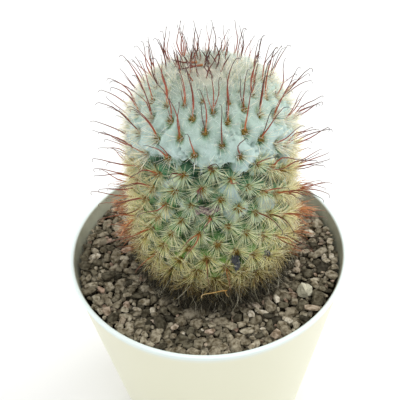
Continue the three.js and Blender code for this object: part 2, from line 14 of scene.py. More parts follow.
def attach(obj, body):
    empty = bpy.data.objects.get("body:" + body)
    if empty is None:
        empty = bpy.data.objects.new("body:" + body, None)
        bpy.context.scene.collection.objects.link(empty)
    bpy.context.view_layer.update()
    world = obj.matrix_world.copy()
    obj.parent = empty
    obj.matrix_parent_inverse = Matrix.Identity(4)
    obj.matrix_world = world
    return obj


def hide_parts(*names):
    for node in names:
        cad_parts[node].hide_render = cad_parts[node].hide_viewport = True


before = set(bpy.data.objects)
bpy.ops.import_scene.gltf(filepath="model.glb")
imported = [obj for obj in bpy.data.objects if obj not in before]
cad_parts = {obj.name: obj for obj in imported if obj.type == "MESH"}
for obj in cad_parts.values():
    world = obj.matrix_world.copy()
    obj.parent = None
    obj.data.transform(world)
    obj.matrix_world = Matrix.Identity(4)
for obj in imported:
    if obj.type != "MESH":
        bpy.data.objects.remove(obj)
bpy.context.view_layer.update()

MM = 0.001
TURN = 2 * math.pi

# Camera, fitted to the rim of the pot: place and aims in millimetres and unit vectors.
CAMERA_PLACE = Vector((-2.44, -236.6, 344.4))
CAMERA_RIGHT = Vector((0.99872, -0.03380, -0.03766))
CAMERA_DOWN = Vector((-0.05061, -0.66691, -0.74335))
CAMERA_LENS = 67.5

# Pot
POT_HEIGHT = 105.0
POT_STEPS = 160
FOOT_RADIUS = 44.0
POT_TAPER = 0.165
POT_WALL = 1.6
FLOOR_TOP = 5.4
FOOT_RECESS = 2.6
FOOT_RING_WIDTH = 4.5
DRAIN_RADIUS = 5.0
LIP_DEPTH = 2.6
LIP_PROUD = 0.5

# Grit
GAP = 0.3
GRIT_LEVEL = POT_HEIGHT - 7
GRIT_TOP = 100.5
BED_DEPTH = 2.2
BED_STEPS = 96
BED_INNER_RADIUS = 22.0
ROOT_RADIUS = 20.0
ROOT_TIP_RADIUS = 9.0
STONE_CENTRE = Vector((40.0, -26.0))
STONE_SIZE = Vector((3.3, 3.7, 4.2))
GRAIN_SHAPES = 16
TRIES_PER_GRAIN = 14
# Layers of grains, the last one lowest: how many, height of the seat over the level, least and most radius.
GRAIN_LAYERS = (
    (70, 0.3, 2.6, 3.4), (480, 0.0, 1.6, 2.5), (640, -0.6, 0.8, 1.5), (1200, -2.2, 1.3, 2.0),
)
LOWEST_LAYER = len(GRAIN_LAYERS) - 1

# Stem: [radius, height] of the tubercle tips from the apex down, and the rule for their spacing.
STEM_X = 3.0
STEM_PROFILE = (
    (0, 98.5), (9, 97.4), (18, 93.6), (25.5, 86.5), (30, 76), (31.3, 62),
    (32, 48), (33, 33), (32.3, 19), (28.8, 8.5), (26.2, 4.8),
)
GOLDEN_ANGLE = math.pi * (3 - math.sqrt(5))
GROWN_PITCH = 9.35
YOUNG_SHARE = 0.42
GROWN_AFTER = 42.0
CELL_SHARE = 0.9
TUBERCLE_SHARE = 0.42
APEX_BURIED = 3
SKIN_ROWS = 230
SKIN_STEPS = 270
APEX_ROWS = 600  # rows of the side over which the radius tells a place better than the height
# Rows under the last tubercles, as (radius, height): the neck that stands in the grit.
STEM_FOOT = [(23.5, 2.8), (21.5, 1.4), (20, 0), (20, -1.5), (0, -1.5)]

# Spines
HOOK_LENGTH = 19.0
YOUNG_HOOK_LENGTH = 9.0
HOOK_RISE = 38.0
HOOK_LOW_RISE = 12.0
HOOK_STEEPEST = 84.0
HOOK_LOWEST = 2.0
HOOK_LEAN = 0.55
HOOK_SHAFT = 17
HOOK_CURL = 2.3
HOOK_REACH = 17.6  # about how high a hooked template stands
SPINE_TOP = 208.1  # no hooked spine reaches higher, so that the looks stay in the solids' box
STRAIGHT_LENGTH = 10
YOUNG_LENGTH = 8
RADIAL_LENGTH = 7.4
OLD_RADIAL_LENGTH = 7.8
TUFT_LENGTH = 14
TUFT_COUNT = 40
APEX_SPINES = 32
DEAD_SPINES = 6000
DEAD_LENGTH = 10
DEAD_REACH = 9.6  # how far a bent dead template reaches
FELT_HAIRS = 22

# Wool
WOOL_FRONT_HEIGHT = 80.0
WOOL_BACK_HEIGHT = 62.0
WOOL_ROWS = 205
WOOL_STEPS = 290
WOOL_SHARE = 0.75  # share of the side, from the apex down, that the mat is made over
HAIR_TRIES = 24000
HAIR_SHARE = 0.72
HAIR_LENGTH = 3.4

# Marks
SCAR_ANGLE = math.radians(-75)
SCAR_REACH = 35
SCAR_HEIGHT = 31.0
SCAR_CLEARANCE = 3.2
SCAR_PLACE = Vector((
    STEM_X + SCAR_REACH * math.cos(SCAR_ANGLE),
    SCAR_REACH * math.sin(SCAR_ANGLE),
    GRIT_LEVEL + SCAR_HEIGHT,
))
# Lumps of the scars: name, angle round the stem, height, how proud, size across, up and out, and seed.
SCARS = (
    ("scar", -77, SCAR_HEIGHT - 1, 1.8, (1.2, 3.6, 1.2), 3),
    ("scar_top", -79, SCAR_HEIGHT + 1.5, 1.8, (1.3, 2.0, 1.1), 4),
    ("scar_small", -55, 30, 2.2, (0.8, 1.4, 1.0), 5),
)
# Bits of husk: angle round the stem, height and width.
HUSKS = ((-98, 58, 2.0), (-93, 57, 1.6), (-89, 58.5, 1.5), (-102, 56.5, 1.3))

# Stage, its floor in metres
FLOOR_SIZE = 3
DAYLIGHT = 0.78
SENSOR_WIDTH = 36
# Lights: name, strength, angle that it fills in degrees, and aim.
LIGHTS = (
    ("overhead softbox", 0.9, 50, (0.0, 0.3, -1)),
    ("right window", 2.1, 45, (-0.85, -0.25, -0.58)),
    ("left window", 0.9, 50, (0.85, -0.3, -0.4)),
    ("back window", 0.5, 50, (0.0, -0.85, -0.5)),
)

rng = np.random.default_rng(7)


def clamp(value, low=0.0, high=1.0):
    return max(low, min(high, value))


def mix(a, b, share):
    return a + (b - a) * share


def smooth(value, low, high):
    share = clamp((value - low) / (high - low))
    return share * share * (3 - 2 * share)


def scatter(i, k):
    """A repeatable number from 0 to 1 for item i in series k, the same as in the part's own source."""
    wave = math.sin((i + 1) * 12.9898 + k * 78.233) * 43758.5453
    return wave - math.floor(wave)


def sway(i, k):
    """A repeatable number from -1 to 1."""
    return 2 * scatter(i, k) - 1


# Growth of the stem

def stem_curve(count):
    """The smooth side of the stem through STEM_PROFILE, as an array of (radius, height)."""
    marks = np.array(STEM_PROFILE, float)
    first = 2 * marks[0] - marks[1]
    last = 2 * marks[-1] - marks[-2]
    posts = np.vstack([first, marks, last])
    spans = len(marks) - 1
    points = []
    for step in range(count + 1):
        place = spans * step / count
        k = min(int(place), spans - 1)
        t = place - k
        p0, p1, p2, p3 = posts[k:k + 4]
        d0, d1, d2 = (np.linalg.norm(b - a) ** 0.5 for a, b in ((p0, p1), (p1, p2), (p2, p3)))
        start = ((p1 - p0) / d0 - (p2 - p0) / (d0 + d1) + (p2 - p1) / d1) * d1
        end = ((p2 - p1) / d1 - (p3 - p1) / (d1 + d2) + (p3 - p2) / d2) * d1
        points.append(
            p1 + start * t + (3 * (p2 - p1) - 2 * start - end) * t ** 2
            + (2 * (p1 - p2) + start + end) * t ** 3
        )
    return np.array(points)


def pitch_at(way):
    """The distance between tubercles at a length from the apex."""
    return GROWN_PITCH * mix(YOUNG_SHARE, 1, smooth(way, 0, GROWN_AFTER))


def grow_stem():
    """The stem's side as rows (radius, height, way, grown), way being the length from the apex."""
    rows = []
    way = grown = 0.0
    points = stem_curve(150 * len(STEM_PROFILE))
    for before, here in zip(points, points[1:]):
        step = float(np.linalg.norm(here - before))
        way += step
        pitch = pitch_at(way)
        grown += TURN * (here[0] + before[0]) / 2 * step / (CELL_SHARE * pitch * pitch)
        rows.append((here[0], here[1], way, grown))
    return np.array(rows)


class Tubercle:
    """One tubercle: its tip, the directions out of it, round the stem and up it, and its size."""

    def __init__(self, index, side):
        radius, height, way = (
            float(np.interp(index + 0.5, side[:, 3], side[:, k])) for k in range(3)
        )
        fall = [float(np.interp(way + 0.2, side[:, 2], side[:, k])) for k in range(2)]
        rise = [float(np.interp(way - 0.2, side[:, 2], side[:, k])) for k in range(2)]
        slope = Vector((fall[0] - rise[0], fall[1] - rise[1])).normalized()
        angle = -index * GOLDEN_ANGLE
        out = Vector((math.cos(angle), math.sin(angle), 0))
        self.index = index
        self.tip = out * radius + Vector((STEM_X, 0, GRIT_LEVEL + height))
        self.axis = (out * -slope.y + Vector((0, 0, slope.x))).normalized()
        self.across = Vector((0, 0, 1)).cross(out).normalized()
        self.upward = self.axis.cross(self.across).normalized()
        self.out = out
        self.height = height
        self.pitch = pitch_at(way)
        self.grown = clamp(self.pitch / GROWN_PITCH)
        self.young = 1 - smooth(self.pitch, 0.45 * GROWN_PITCH, 0.72 * GROWN_PITCH)
        front = (0.5 - 0.5 * math.sin(angle)) ** 2
        edge = mix(WOOL_BACK_HEIGHT, WOOL_FRONT_HEIGHT, front)
        self.woolly = height + 2.5 * sway(index, 11) > edge

    def aim(self, turn, raised):
        """A direction out of the tubercle: turned round its axis, raised from its skin."""
        flat = self.across * math.cos(turn) + self.upward * math.sin(turn)
        return (flat * math.cos(raised) + self.axis * math.sin(raised)).normalized()


side = grow_stem()
tubercles = [Tubercle(i, side) for i in range(int(side[-1, 3] - 0.5) + 1)]
tips = kdtree.KDTree(len(tubercles))
for tubercle in tubercles:
    tips.insert(tubercle.tip, tubercle.index)
tips.balance()


def cell_at(place):
    """The nearest tubercle, and the way to its cell's edge from 0 to 1."""
    (_, index, near), (_, _, far) = tips.find_n(place, 2)
    return tubercles[index], clamp(2 * near / (near + far))


# Materials

def linear(code):
    """An sRGB hex colour as linear RGBA."""
    values = [int(code[k:k + 2], 16) / 255 for k in (1, 3, 5)]
    return [v / 12.92 if v <= 0.04045 else ((v + 0.055) / 1.055) ** 2.4 for v in values] + [1]


def add(tree, kind, links=(), **settings):
    """Adds a node, sets its properties and sockets, and links (its socket, source socket)."""
    node = tree.nodes.new(kind)
    for name, value in settings.items():
        if hasattr(node, name):
            setattr(node, name, value)
        else:
            node.inputs[name.replace("_", " ")].default_value = value
    for socket, source in links:
        tree.links.new(source, node.inputs[socket])
    return node


def material(name, roughness, **sockets):
    """A new material with its shader's own sockets set. Returns it, its tree and its shader."""
    made = bpy.data.materials.new(name)
    made.use_nodes = True
    tree = made.node_tree
    shader = tree.nodes["Principled BSDF"]
    shader.inputs["Roughness"].default_value = roughness
    for socket, value in sockets.items():
        shader.inputs[socket.replace("_", " ")].default_value = value
    return made, tree, shader


def ramp(tree, source, stops):
    """A colour ramp through (place, hex colour) stops, driven by source."""
    node = add(tree, "ShaderNodeValToRGB", [("Fac", source)])
    elements = node.color_ramp.elements
    while len(elements) < len(stops):
        elements.new(0.5)
    for element, (place, code) in zip(elements, stops):
        element.position = place
        element.color = linear(code)
    return node.outputs["Color"]


def blend(tree, share, first, second, mode="MIX"):
    """Mixes two colour sockets or colours; share is a socket or a number."""
    node = add(tree, "ShaderNodeMix", data_type="RGBA", blend_type=mode)
    for socket, value in ((node.inputs[0], share), (node.inputs[6], first), (node.inputs[7], second)):
        if isinstance(value, bpy.types.NodeSocket):
            tree.links.new(value, socket)
        else:
            socket.default_value = value
    return node.outputs[2]


def speckle(tree, size_mm, detail=3.0, stretch=None):
    """Noise over the piece with features of about size_mm."""
    place = add(tree, "ShaderNodeTexCoord").outputs["Object"]
    if stretch:
        place = add(tree, "ShaderNodeMapping", [("Vector", place)], Scale=stretch).outputs["Vector"]
    node = add(tree, "ShaderNodeTexNoise", [("Vector", place)], Scale=1 / (size_mm * MM), Detail=detail)
    return node.outputs["Fac"]


def height_share(tree, low_mm, high_mm):
    """How high a point is between two heights in the part's frame, from 0 to 1."""
    place = add(tree, "ShaderNodeTexCoord").outputs["Object"]
    z = add(tree, "ShaderNodeSeparateXYZ", [("Vector", place)]).outputs["Z"]
    node = add(tree, "ShaderNodeMapRange", [("Value", z)], From_Min=low_mm * MM, From_Max=high_mm * MM)
    return node.outputs["Result"]


def own_value(tree, name):
    """A value that the piece's own mesh carries at each point."""
    return add(tree, "ShaderNodeAttribute", attribute_name=name).outputs["Fac"]


def bump(tree, shader, source, depth_mm, strength=1.0):
    """Fine relief in the shader, depth_mm deep."""
    node = add(tree, "ShaderNodeBump", [("Height", source)], Strength=strength, Distance=depth_mm * MM)
    tree.links.new(node.outputs["Normal"], shader.inputs["Normal"])


def skin_material():
    """Cactus skin: a waxy green epidermis, blue-green high up and yellower low down, with painted shade:
    near black at its foot under the dead spines and darker in the furrows.
    """
    made, tree, shader = material("cactus skin, waxy epidermis", 0.5, Specular_IOR_Level=0.35)
    tall = height_share(tree, GRIT_LEVEL, GRIT_LEVEL + 100)
    # Painted shade: the two near-black stops at the foot stand in for the shadow under the skirt of dead
    # spines.
    zones = ramp(tree, tall, (
        (0.0, "#15120c"), (0.1, "#1f1b13"), (0.15, "#5d7a30"), (0.27, "#98c850"),
        (0.45, "#66ac56"), (0.7, "#56986a"), (1.0, "#7fa092"),
    ))
    blotch = ramp(tree, speckle(tree, 9), ((0.3, "#8f9484"), (0.7, "#ffffff")))
    colour = blend(tree, 1.0, zones, blotch, "MULTIPLY")
    # Painted shade: the skin is darkened towards the furrows between the tubercles and on the neck.
    furrow_shade = ramp(tree, own_value(tree, "furrow_shade"), ((0.35, "#ffffff"), (1.0, "#60785c")))
    colour = blend(tree, 1.0, colour, furrow_shade, "MULTIPLY")
    tree.links.new(colour, shader.inputs["Base Color"])
    bump(tree, shader, speckle(tree, 0.6), 0.12)
    return made


def wool_material():
    """Axil wool: white matted hair, greener and darker round the areoles, where it is thin and where painted
    shade fills the hollows, warmer on the crown.
    """
    made, tree, shader = material(
        "axil wool, matted white hair", 0.95, Specular_IOR_Level=0.1,
        Subsurface_Weight=0.4, Subsurface_Radius=(1, 1, 0.9), Subsurface_Scale=1.2 * MM,
    )
    tall = height_share(tree, GRIT_LEVEL + 40, GRIT_LEVEL + 100)
    zones = ramp(tree, tall, (
        (0.0, "#b8c4b6"), (0.45, "#c7dde0"), (0.82, "#bacec4"), (0.94, "#a9b7aa"), (0.995, "#c2b6a6"),
    ))
    # Partly painted shade: the olive and grey-green stops darken the hollows round the areoles, besides
    # showing where the wool is thin.
    thin = ramp(tree, own_value(tree, "thickness_and_shade"), (
        (0.02, "#a4a472"), (0.2, "#c2d0b0"), (0.45, "#e4eee2"), (0.75, "#ffffff"),
    ))
    colour = blend(tree, 1.0, zones, thin, "MULTIPLY")
    cloud = ramp(tree, speckle(tree, 5, 2), ((0.3, "#dfe6e0"), (0.65, "#ffffff")))
    colour = blend(tree, 1.0, colour, cloud, "MULTIPLY")
    tree.links.new(colour, shader.inputs["Base Color"])
    bump(tree, shader, speckle(tree, 0.5, 4), 0.25)
    return made


def hair_material():
    """Loose axil hair: dull white strands, each with a tone of its own, warmer on the crown."""
    made, tree, shader = material("axil wool, loose white hair", 0.9, Specular_IOR_Level=0.1)
    tone = ramp(tree, own_value(tree, "tone"), ((0.0, "#b6c8c0"), (0.6, "#ccdcd8"), (1.0, "#e6f0ec")))
    tall = height_share(tree, GRIT_LEVEL + 94, GRIT_LEVEL + 100)
    crown = ramp(tree, tall, ((0.0, "#ffffff"), (1.0, "#e9e0d4")))
    tree.links.new(blend(tree, 1.0, tone, crown, "MULTIPLY"), shader.inputs["Base Color"])
    return made


def spine_material(name, stops_young, stops_old, low, high, dull="#c4c1b0"):
    """Horny spine: coloured along its own length and by its height on the stem, glowing when backlit."""
    made, tree, shader = material(
        name, 0.45, Specular_IOR_Level=0.4,
        Subsurface_Weight=0.8, Subsurface_Radius=(1, 0.85, 0.55), Subsurface_Scale=0.4 * MM,
    )
    along = own_value(tree, "along")
    young = ramp(tree, along, stops_young)
    old = ramp(tree, along, stops_old)
    tall = height_share(tree, GRIT_LEVEL + low, GRIT_LEVEL + high)
    colour = blend(tree, tall, old, young)
    shade = ramp(tree, own_value(tree, "tone"), ((0.0, dull), (0.5, "#ffffff")))
    tree.links.new(blend(tree, 1.0, colour, shade, "MULTIPLY"), shader.inputs["Base Color"])
    return made


def bristle_material():
    """Crown bristles: fine, white and pale gold at the tips, lighting up the stem's outline."""
    return spine_material(
        "crown bristles, fine white horn",
        ((0.0, "#d6d6b8"), (0.3, "#e8eede"), (0.6, "#fff8d8"), (1.0, "#fff8d2")),
        ((0.0, "#d2c08a"), (0.2, "#e2e6cc"), (0.6, "#fff0b8"), (1.0, "#ffefb0")),
        low=60, high=80,
    )


def white_radial_material():
    """Radials at the front: white stars, tinged by the green skin near their feet."""
    return spine_material(
        "radial spines, horny, white",
        ((0.0, "#9c9458"), (0.14, "#bccf9c"), (0.4, "#cfe8c4"), (0.7, "#e6ecb4"), (1.0, "#f6eca0")),
        ((0.0, "#c09448"), (0.2, "#dcdc94"), (0.55, "#fcf6b4"), (1.0, "#fff8b0")),
        low=30, high=54,
    )


def backlit_radial_material():
    """Radials at the sides and behind: the same spines as the white ones, painted cream and gold as the glow
    of backlight along the stem's edges.
    """
    return spine_material(
        "radial spines, horny, cream as painted backlight",
        ((0.0, "#a8864a"), (0.14, "#c2b986"), (0.4, "#d4d4a8"), (0.7, "#ecd694"), (1.0, "#f2cf80")),
        ((0.0, "#c09448"), (0.2, "#dcd894"), (0.55, "#fcf2b2"), (1.0, "#fff3b0")),
        low=34, high=60, dull="#b8a888",
    )


def old_radial_material():
    """Old radials: yellowed to straw, and brown where they near the grit."""
    return spine_material(
        "old radial spines, yellowed to straw",
        ((0.0, "#c8984e"), (0.3, "#e4da84"), (0.6, "#fff6b0"), (1.0, "#fff8b4")),
        ((0.0, "#3b2f1e"), (0.4, "#6e5b32"), (1.0, "#98854a")),
        low=12, high=30, dull="#a5865a",
    )


def central_material():
    """Central spines: amber feet, red-brown shafts and dark hooks."""
    return spine_material(
        "central spines, horny, red-brown with dark tips",
        (
            (0.0, "#dba04e"), (0.12, "#be7040"), (0.32, "#a04f38"),
            (0.62, "#7e4234"), (0.82, "#5a4744"), (1.0, "#4a484a"),
        ),
        ((0.0, "#d8a860"), (0.15, "#c08048"), (0.6, "#985a3c"), (0.85, "#7a503c"), (1.0, "#644a3e")),
        low=30, high=56, dull="#80665a",
    )


def coral_material():
    """Lower spines: thin, faded to coral and orange-brown."""
    return spine_material(
        "lower spines, thin, faded coral",
        ((0.0, "#c49a5c"), (0.3, "#cc8a4c"), (0.7, "#b27046"), (1.0, "#86604a")),
        ((0.0, "#84623a"), (0.3, "#b27444"), (0.7, "#a26640"), (1.0, "#7a5640")),
        low=8, high=26, dull="#5a483a",
    )


def dead_spine_material():
    """Dead spines: weathered, a few bleached grey, the rest dark brown painted down to near black as the
    shade under the skirt.
    """
    made, tree, shader = material("dead spines, weathered, darkened with painted shade", 0.8, Specular_IOR_Level=0.2)
    # Partly painted shade: the near-black stops carry the shadow under the skirt of dead spines.
    tone = ramp(tree, own_value(tree, "tone"), (
        (0.0, "#18150e"), (0.5, "#38342a"), (0.75, "#625d49"), (0.92, "#98927a"), (1.0, "#cac5b0"),
    ))
    tree.links.new(tone, shader.inputs["Base Color"])
    return made


def cork_material():
    """Scar: dark grey cork, rough and without shine."""
    made, tree, shader = material("scar, dark cork", 0.85, Specular_IOR_Level=0.2)
    tone = ramp(tree, speckle(tree, 1.2), ((0.35, "#2e3032"), (0.7, "#5c5e60")))
    tree.links.new(tone, shader.inputs["Base Color"])
    bump(tree, shader, speckle(tree, 0.5), 0.2)
    return made


def husk_material():
    """Caught husk: dry and mauve-grey, mottled."""
    made, tree, shader = material("caught debris, mauve-grey husk", 0.95, Specular_IOR_Level=0.1)
    tone = ramp(tree, speckle(tree, 0.9), ((0.35, "#6d5f5c"), (0.6, "#9c8d88"), (0.8, "#b3a7a0")))
    tree.links.new(tone, shader.inputs["Base Color"])
    bump(tree, shader, speckle(tree, 0.4), 0.2)
    return made


def straw_material():
    """The bent old spine: dry straw, paler towards its tip."""
    made, tree, shader = material("bent old spine, dry straw", 0.6, Specular_IOR_Level=0.3)
    tone = ramp(tree, own_value(tree, "along"), ((0.0, "#b0803c"), (0.5, "#d0a968"), (1.0, "#e6c890")))
    tree.links.new(tone, shader.inputs["Base Color"])
    return made


def felt_material():
    """Areole felt: short tan fur, yellow-brown on grown areoles."""
    made, tree, shader = material("areole felt, short tan fur", 0.95, Specular_IOR_Level=0.1)
    tall = height_share(tree, GRIT_LEVEL + 5, GRIT_LEVEL + 95)
    zones = ramp(tree, tall, ((0.0, "#54472f"), (0.3, "#9c854a"), (0.65, "#b8924c"), (0.85, "#b09656")))
    flecks = ramp(tree, speckle(tree, 0.5), ((0.3, "#8a7f6a"), (0.7, "#ffffff")))
    tree.links.new(blend(tree, 1.0, zones, flecks, "MULTIPLY"), shader.inputs["Base Color"])
    bump(tree, shader, speckle(tree, 0.25), 0.2)
    return made


def lava_material():
    """Lava grit: porous broken lava, brown to grey, dusty, each grain with a tone of its own."""
    made, tree, shader = material("lava grit, porous broken lava", 0.92, Specular_IOR_Level=0.2)
    tone = ramp(tree, own_value(tree, "tone"), (
        (0.0, "#433f33"), (0.25, "#6c6654"), (0.5, "#928975"),
        (0.75, "#b0a893"), (0.9, "#a98e7c"), (1.0, "#c9c1ae"),
    ))
    dust = ramp(tree, speckle(tree, 1.6, 4), ((0.35, "#948c7c"), (0.62, "#ffffff")))
    tree.links.new(blend(tree, 1.0, tone, dust, "MULTIPLY"), shader.inputs["Base Color"])
    bump(tree, shader, speckle(tree, 0.9, 4), 0.22)
    return made


def bed_material():
    """The dark shade between the grains: fine lava dust in shadow."""
    made, tree, shader = material("lava dust, unlit between grains", 1.0, Specular_IOR_Level=0.1)
    colour = ramp(tree, speckle(tree, 1.5), ((0.3, "#18130b"), (0.7, "#2f281c")))
    tree.links.new(colour, shader.inputs["Base Color"])
    return made


def stone_material():
    """Pale stone: a dull broken piece of buff pumice with darker pits."""
    made, tree, shader = material("pale pumice, broken", 0.9, Specular_IOR_Level=0.2)
    colour = ramp(tree, speckle(tree, 1.6, 5), ((0.3, "#9b9682"), (0.5, "#b9b59f"), (0.75, "#c5c2ac")))
    tree.links.new(colour, shader.inputs["Base Color"])
    bump(tree, shader, speckle(tree, 0.8, 5), 0.3)
    return made


def pot_material():
    """Pot: injection-moulded polypropylene, warm white with a soft gloss, with painted light on a cool pale
    lip and painted shade darkening and mottling its inside.
    """
    made, tree, shader = material("moulded polypropylene, warm white", 0.32, IOR=1.49)
    tall = height_share(tree, 60, POT_HEIGHT)
    # Painted light: the wall is cream and the lip cool and pale, though the plastic is one colour; the
    # change by height stands in for how each catches the light.
    colour = ramp(tree, tall, ((0.0, "#dbdac0"), (0.88, "#dcdbc2"), (0.97, "#dbe6e3")))
    # Painted shade: the inner wall is darkened and mottled to stand in for the shade inside the pot.
    inner_wall_shade = ramp(tree, speckle(tree, 6, 4), ((0.3, "#a0a28e"), (0.7, "#b6b8a4")))
    colour = blend(tree, own_value(tree, "inside"), colour, inner_wall_shade)
    tree.links.new(colour, shader.inputs["Base Color"])
    bump(tree, shader, speckle(tree, 7, 1), 0.05, 0.3)
    return made


# Making pieces

def finish(bm, name, finish_material, node=None, smooth_faces=True):
    """Turns a bmesh in millimetres into a piece in metres that rides on the root body."""
    bmesh.ops.recalc_face_normals(bm, faces=bm.faces)
    bmesh.ops.scale(bm, vec=(MM, MM, MM), verts=bm.verts)
    mesh = bpy.data.meshes.new(name)
    bm.to_mesh(mesh)
    bm.free()
    return dress(mesh, name, finish_material, node, smooth_faces)


def dress(mesh, name, finish_material, node=None, smooth_faces=True):
    """Makes a finished mesh a piece of the root body, in the place of a node where one is named."""
    mesh.materials.append(finish_material)
    mesh.polygons.foreach_set("use_smooth", [smooth_faces] * len(mesh.polygons))
    piece = bpy.data.objects.new(name, mesh)
    bpy.context.scene.collection.objects.link(piece)
    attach(piece, "root")
    if node:
        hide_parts(node)
    return piece


def bent_way(length, bend, steps, sideways=0.0, curl=0.0, curl_steps=0, curl_size=0.0):
    """The line of a spine from the origin along +Z, bent by bend degrees towards +X, then curled."""
    here = Vector((0, 0, 0))
    way = [here]
    for k in range(steps):
        share = (k + 0.5) / steps
        angle = math.radians(bend) * (share - 0.35)
        aside = sideways * math.sin(TURN * share)
        here = here + Vector((math.sin(angle), aside, math.cos(angle))).normalized() * (length / steps)
        way.append(here)
    for k in range(curl_steps):
        angle = math.radians(0.65 * bend + curl * (k + 0.8) / curl_steps)
        here = here + Vector((math.sin(angle), 0, math.cos(angle))) * (curl_size / curl_steps)
        way.append(here)
    return way


def sweep(way, base, tip, sides, swell=1.0):
    """A template spine: a ring extruded along way, from radius base to tip, drawn to a point."""
    bm = bmesh.new()
    along = bm.verts.layers.float.new("along")
    ring = bmesh.ops.create_circle(bm, segments=sides, radius=base, cap_ends=False)["verts"]
    length = sum((b - a).length for a, b in zip(way, way[1:]))
    aims = [(b - a).normalized() for a, b in zip(way, way[1:])]
    aim = Vector((0, 0, 1))
    run = 0.0
    radius = base
    for k in range(1, len(way)):
        edges = [e for e in bm.edges if all(v in ring for v in e.verts)]
        made = bmesh.ops.extrude_edge_only(bm, edges=edges)["geom"]
        ring = [item for item in made if isinstance(item, bmesh.types.BMVert)]
        facing = (aims[k - 1] + aims[min(k, len(aims) - 1)]).normalized()
        turn = aim.rotation_difference(facing).to_matrix().to_4x4()
        run += (way[k] - way[k - 1]).length
        thin = mix(base, tip, (run / length) ** swell)
        move = Matrix.Translation(way[k]) @ turn @ Matrix.Scale(thin / radius, 4)
        bmesh.ops.transform(bm, matrix=move @ Matrix.Translation(-way[k - 1]), verts=ring)
        for vert in ring:
            vert[along] = run / length
        aim = facing
        radius = thin
    bmesh.ops.pointmerge(bm, verts=ring, merge_co=way[-1])
    return bm


def template(bm):
    """The arrays of a template: vertices, triangles and the place along the spine."""
    bmesh.ops.triangulate(bm, faces=bm.faces)
    bm.verts.index_update()
    layer = bm.verts.layers.float.get("along")
    verts = np.array([v.co for v in bm.verts])
    faces = np.array([[v.index for v in f.verts] for f in bm.faces])
    along = np.array([v[layer] if layer else 0.0 for v in bm.verts])
    bm.free()
    return verts, faces, along


def copies(name, finish_material, templates, places, node=None, smooth_faces=True):
    """One piece of many copies. A place is (template, 4x4 matrix in millimetres, tone)."""
    verts, faces, along, tone = [], [], [], []
    count = 0
    # No operator sets thousands of turned copies fast, so the templates' arrays are moved and joined here.
    for which, matrix, shade in places:
        base, triangles, share = templates[which]
        moved = base @ np.array(matrix.to_3x3()).T + np.array(matrix.to_translation())
        verts.append(moved)
        faces.append(triangles + count)
        along.append(share)
        tone.append(np.full(len(base), shade))
        count += len(base)
    verts = np.concatenate(verts) * MM
    faces = np.concatenate(faces)
    mesh = bpy.data.meshes.new(name)
    mesh.from_pydata(verts, [], faces)
    for layer, values in (("along", along), ("tone", tone)):
        made = mesh.attributes.new(layer, "FLOAT", "POINT")
        made.data.foreach_set("value", np.concatenate(values).astype(np.float32))
    return dress(mesh, name, finish_material, node, smooth_faces)


def standing(place, aim, bend, size=1.0):
    """A matrix that stands a template on place along aim, with its +X side towards bend."""
    across = (bend - aim * bend.dot(aim)).normalized()
    turn = Matrix((across, aim.cross(across), aim)).transposed().to_4x4()
    return Matrix.Translation(place) @ turn @ Matrix.Scale(size, 4)


def turn_outline(bm, corners, steps):
    """Joins corners into a closed outline and spins it once round the pot's axis."""
    edges = [bm.edges.new(pair) for pair in zip(corners, corners[1:] + corners[:1])]
    bmesh.ops.spin(
        bm, geom=corners + edges, axis=(0, 0, 1), cent=(0, 0, 0), angle=TURN, steps=steps, use_merge=True,
    )


# Pot

def pot_outside(z):
    """Radius of the outer wall at a height."""
    return FOOT_RADIUS + POT_TAPER * z


def pot_inside(z):
    """Radius of the inner wall at a height."""
    return FOOT_RADIUS + POT_TAPER * z - POT_WALL


def build_pot():
    """A tapered shell with a foot ring, a drain hole and a small lip, its inside marked for the painted
    shade of the inner wall.
    """
    lip_bottom = POT_HEIGHT - LIP_DEPTH
    ring_inside = FOOT_RADIUS - FOOT_RING_WIDTH
    outer_side = [
        (DRAIN_RADIUS, FOOT_RECESS), (ring_inside, FOOT_RECESS), (ring_inside + 0.6, 0),
        (FOOT_RADIUS - 0.9, 0), (pot_outside(0.9), 0.9), (pot_outside(lip_bottom), lip_bottom),
        (pot_outside(lip_bottom) + LIP_PROUD, lip_bottom + 0.5),
        (pot_outside(POT_HEIGHT) + LIP_PROUD, POT_HEIGHT - 0.6), (pot_outside(POT_HEIGHT), POT_HEIGHT),
        (pot_inside(POT_HEIGHT) + 0.5, POT_HEIGHT),
    ]
    inner_side = [
        (pot_inside(POT_HEIGHT - 0.6), POT_HEIGHT - 0.6), (pot_inside(FLOOR_TOP), FLOOR_TOP),
        (DRAIN_RADIUS, FLOOR_TOP),
    ]
    bm = bmesh.new()
    # The inner side is marked for the painted shade of the inner wall.
    shaded_inside = bm.verts.layers.float.new("inside")
    corners = [bm.verts.new((radius, 0, z)) for radius, z in outer_side + inner_side]
    for corner in corners[len(outer_side):]:
        corner[shaded_inside] = 1.0
    turn_outline(bm, corners, POT_STEPS)
    piece = finish(bm, "pot_shell", pot_material(), "pot")
    rounding = piece.modifiers.new("rounded corners", "BEVEL")
    rounding.width = 0.35 * MM
    rounding.segments = 3
    rounding.limit_method = "ANGLE"
    rounding.angle_limit = math.radians(25)


# Grit

def stone_template(seed, points=19):
    """A broken grain of unit size: the hull of a few points on a squared, lumpy ball."""
    bm = bmesh.new()
    for k in range(points):
        z = 1 - 2 * (k + 0.5) / points
        around = math.sqrt(1 - z * z)
        turn = k * GOLDEN_ANGLE + seed
        out = Vector((around * math.cos(turn), around * math.sin(turn), z))
        squared = max(abs(c) for c in out) ** 0.45
        bm.verts.new(out * (0.74 + 0.36 * scatter(k + 31 * seed, 51)) / squared)
    hull = bmesh.ops.convex_hull(bm, input=bm.verts)
    inside = [item for item in hull["geom_interior"] if isinstance(item, bmesh.types.BMVert)]
    bmesh.ops.delete(bm, geom=inside, context="VERTS")
    return template(bm)


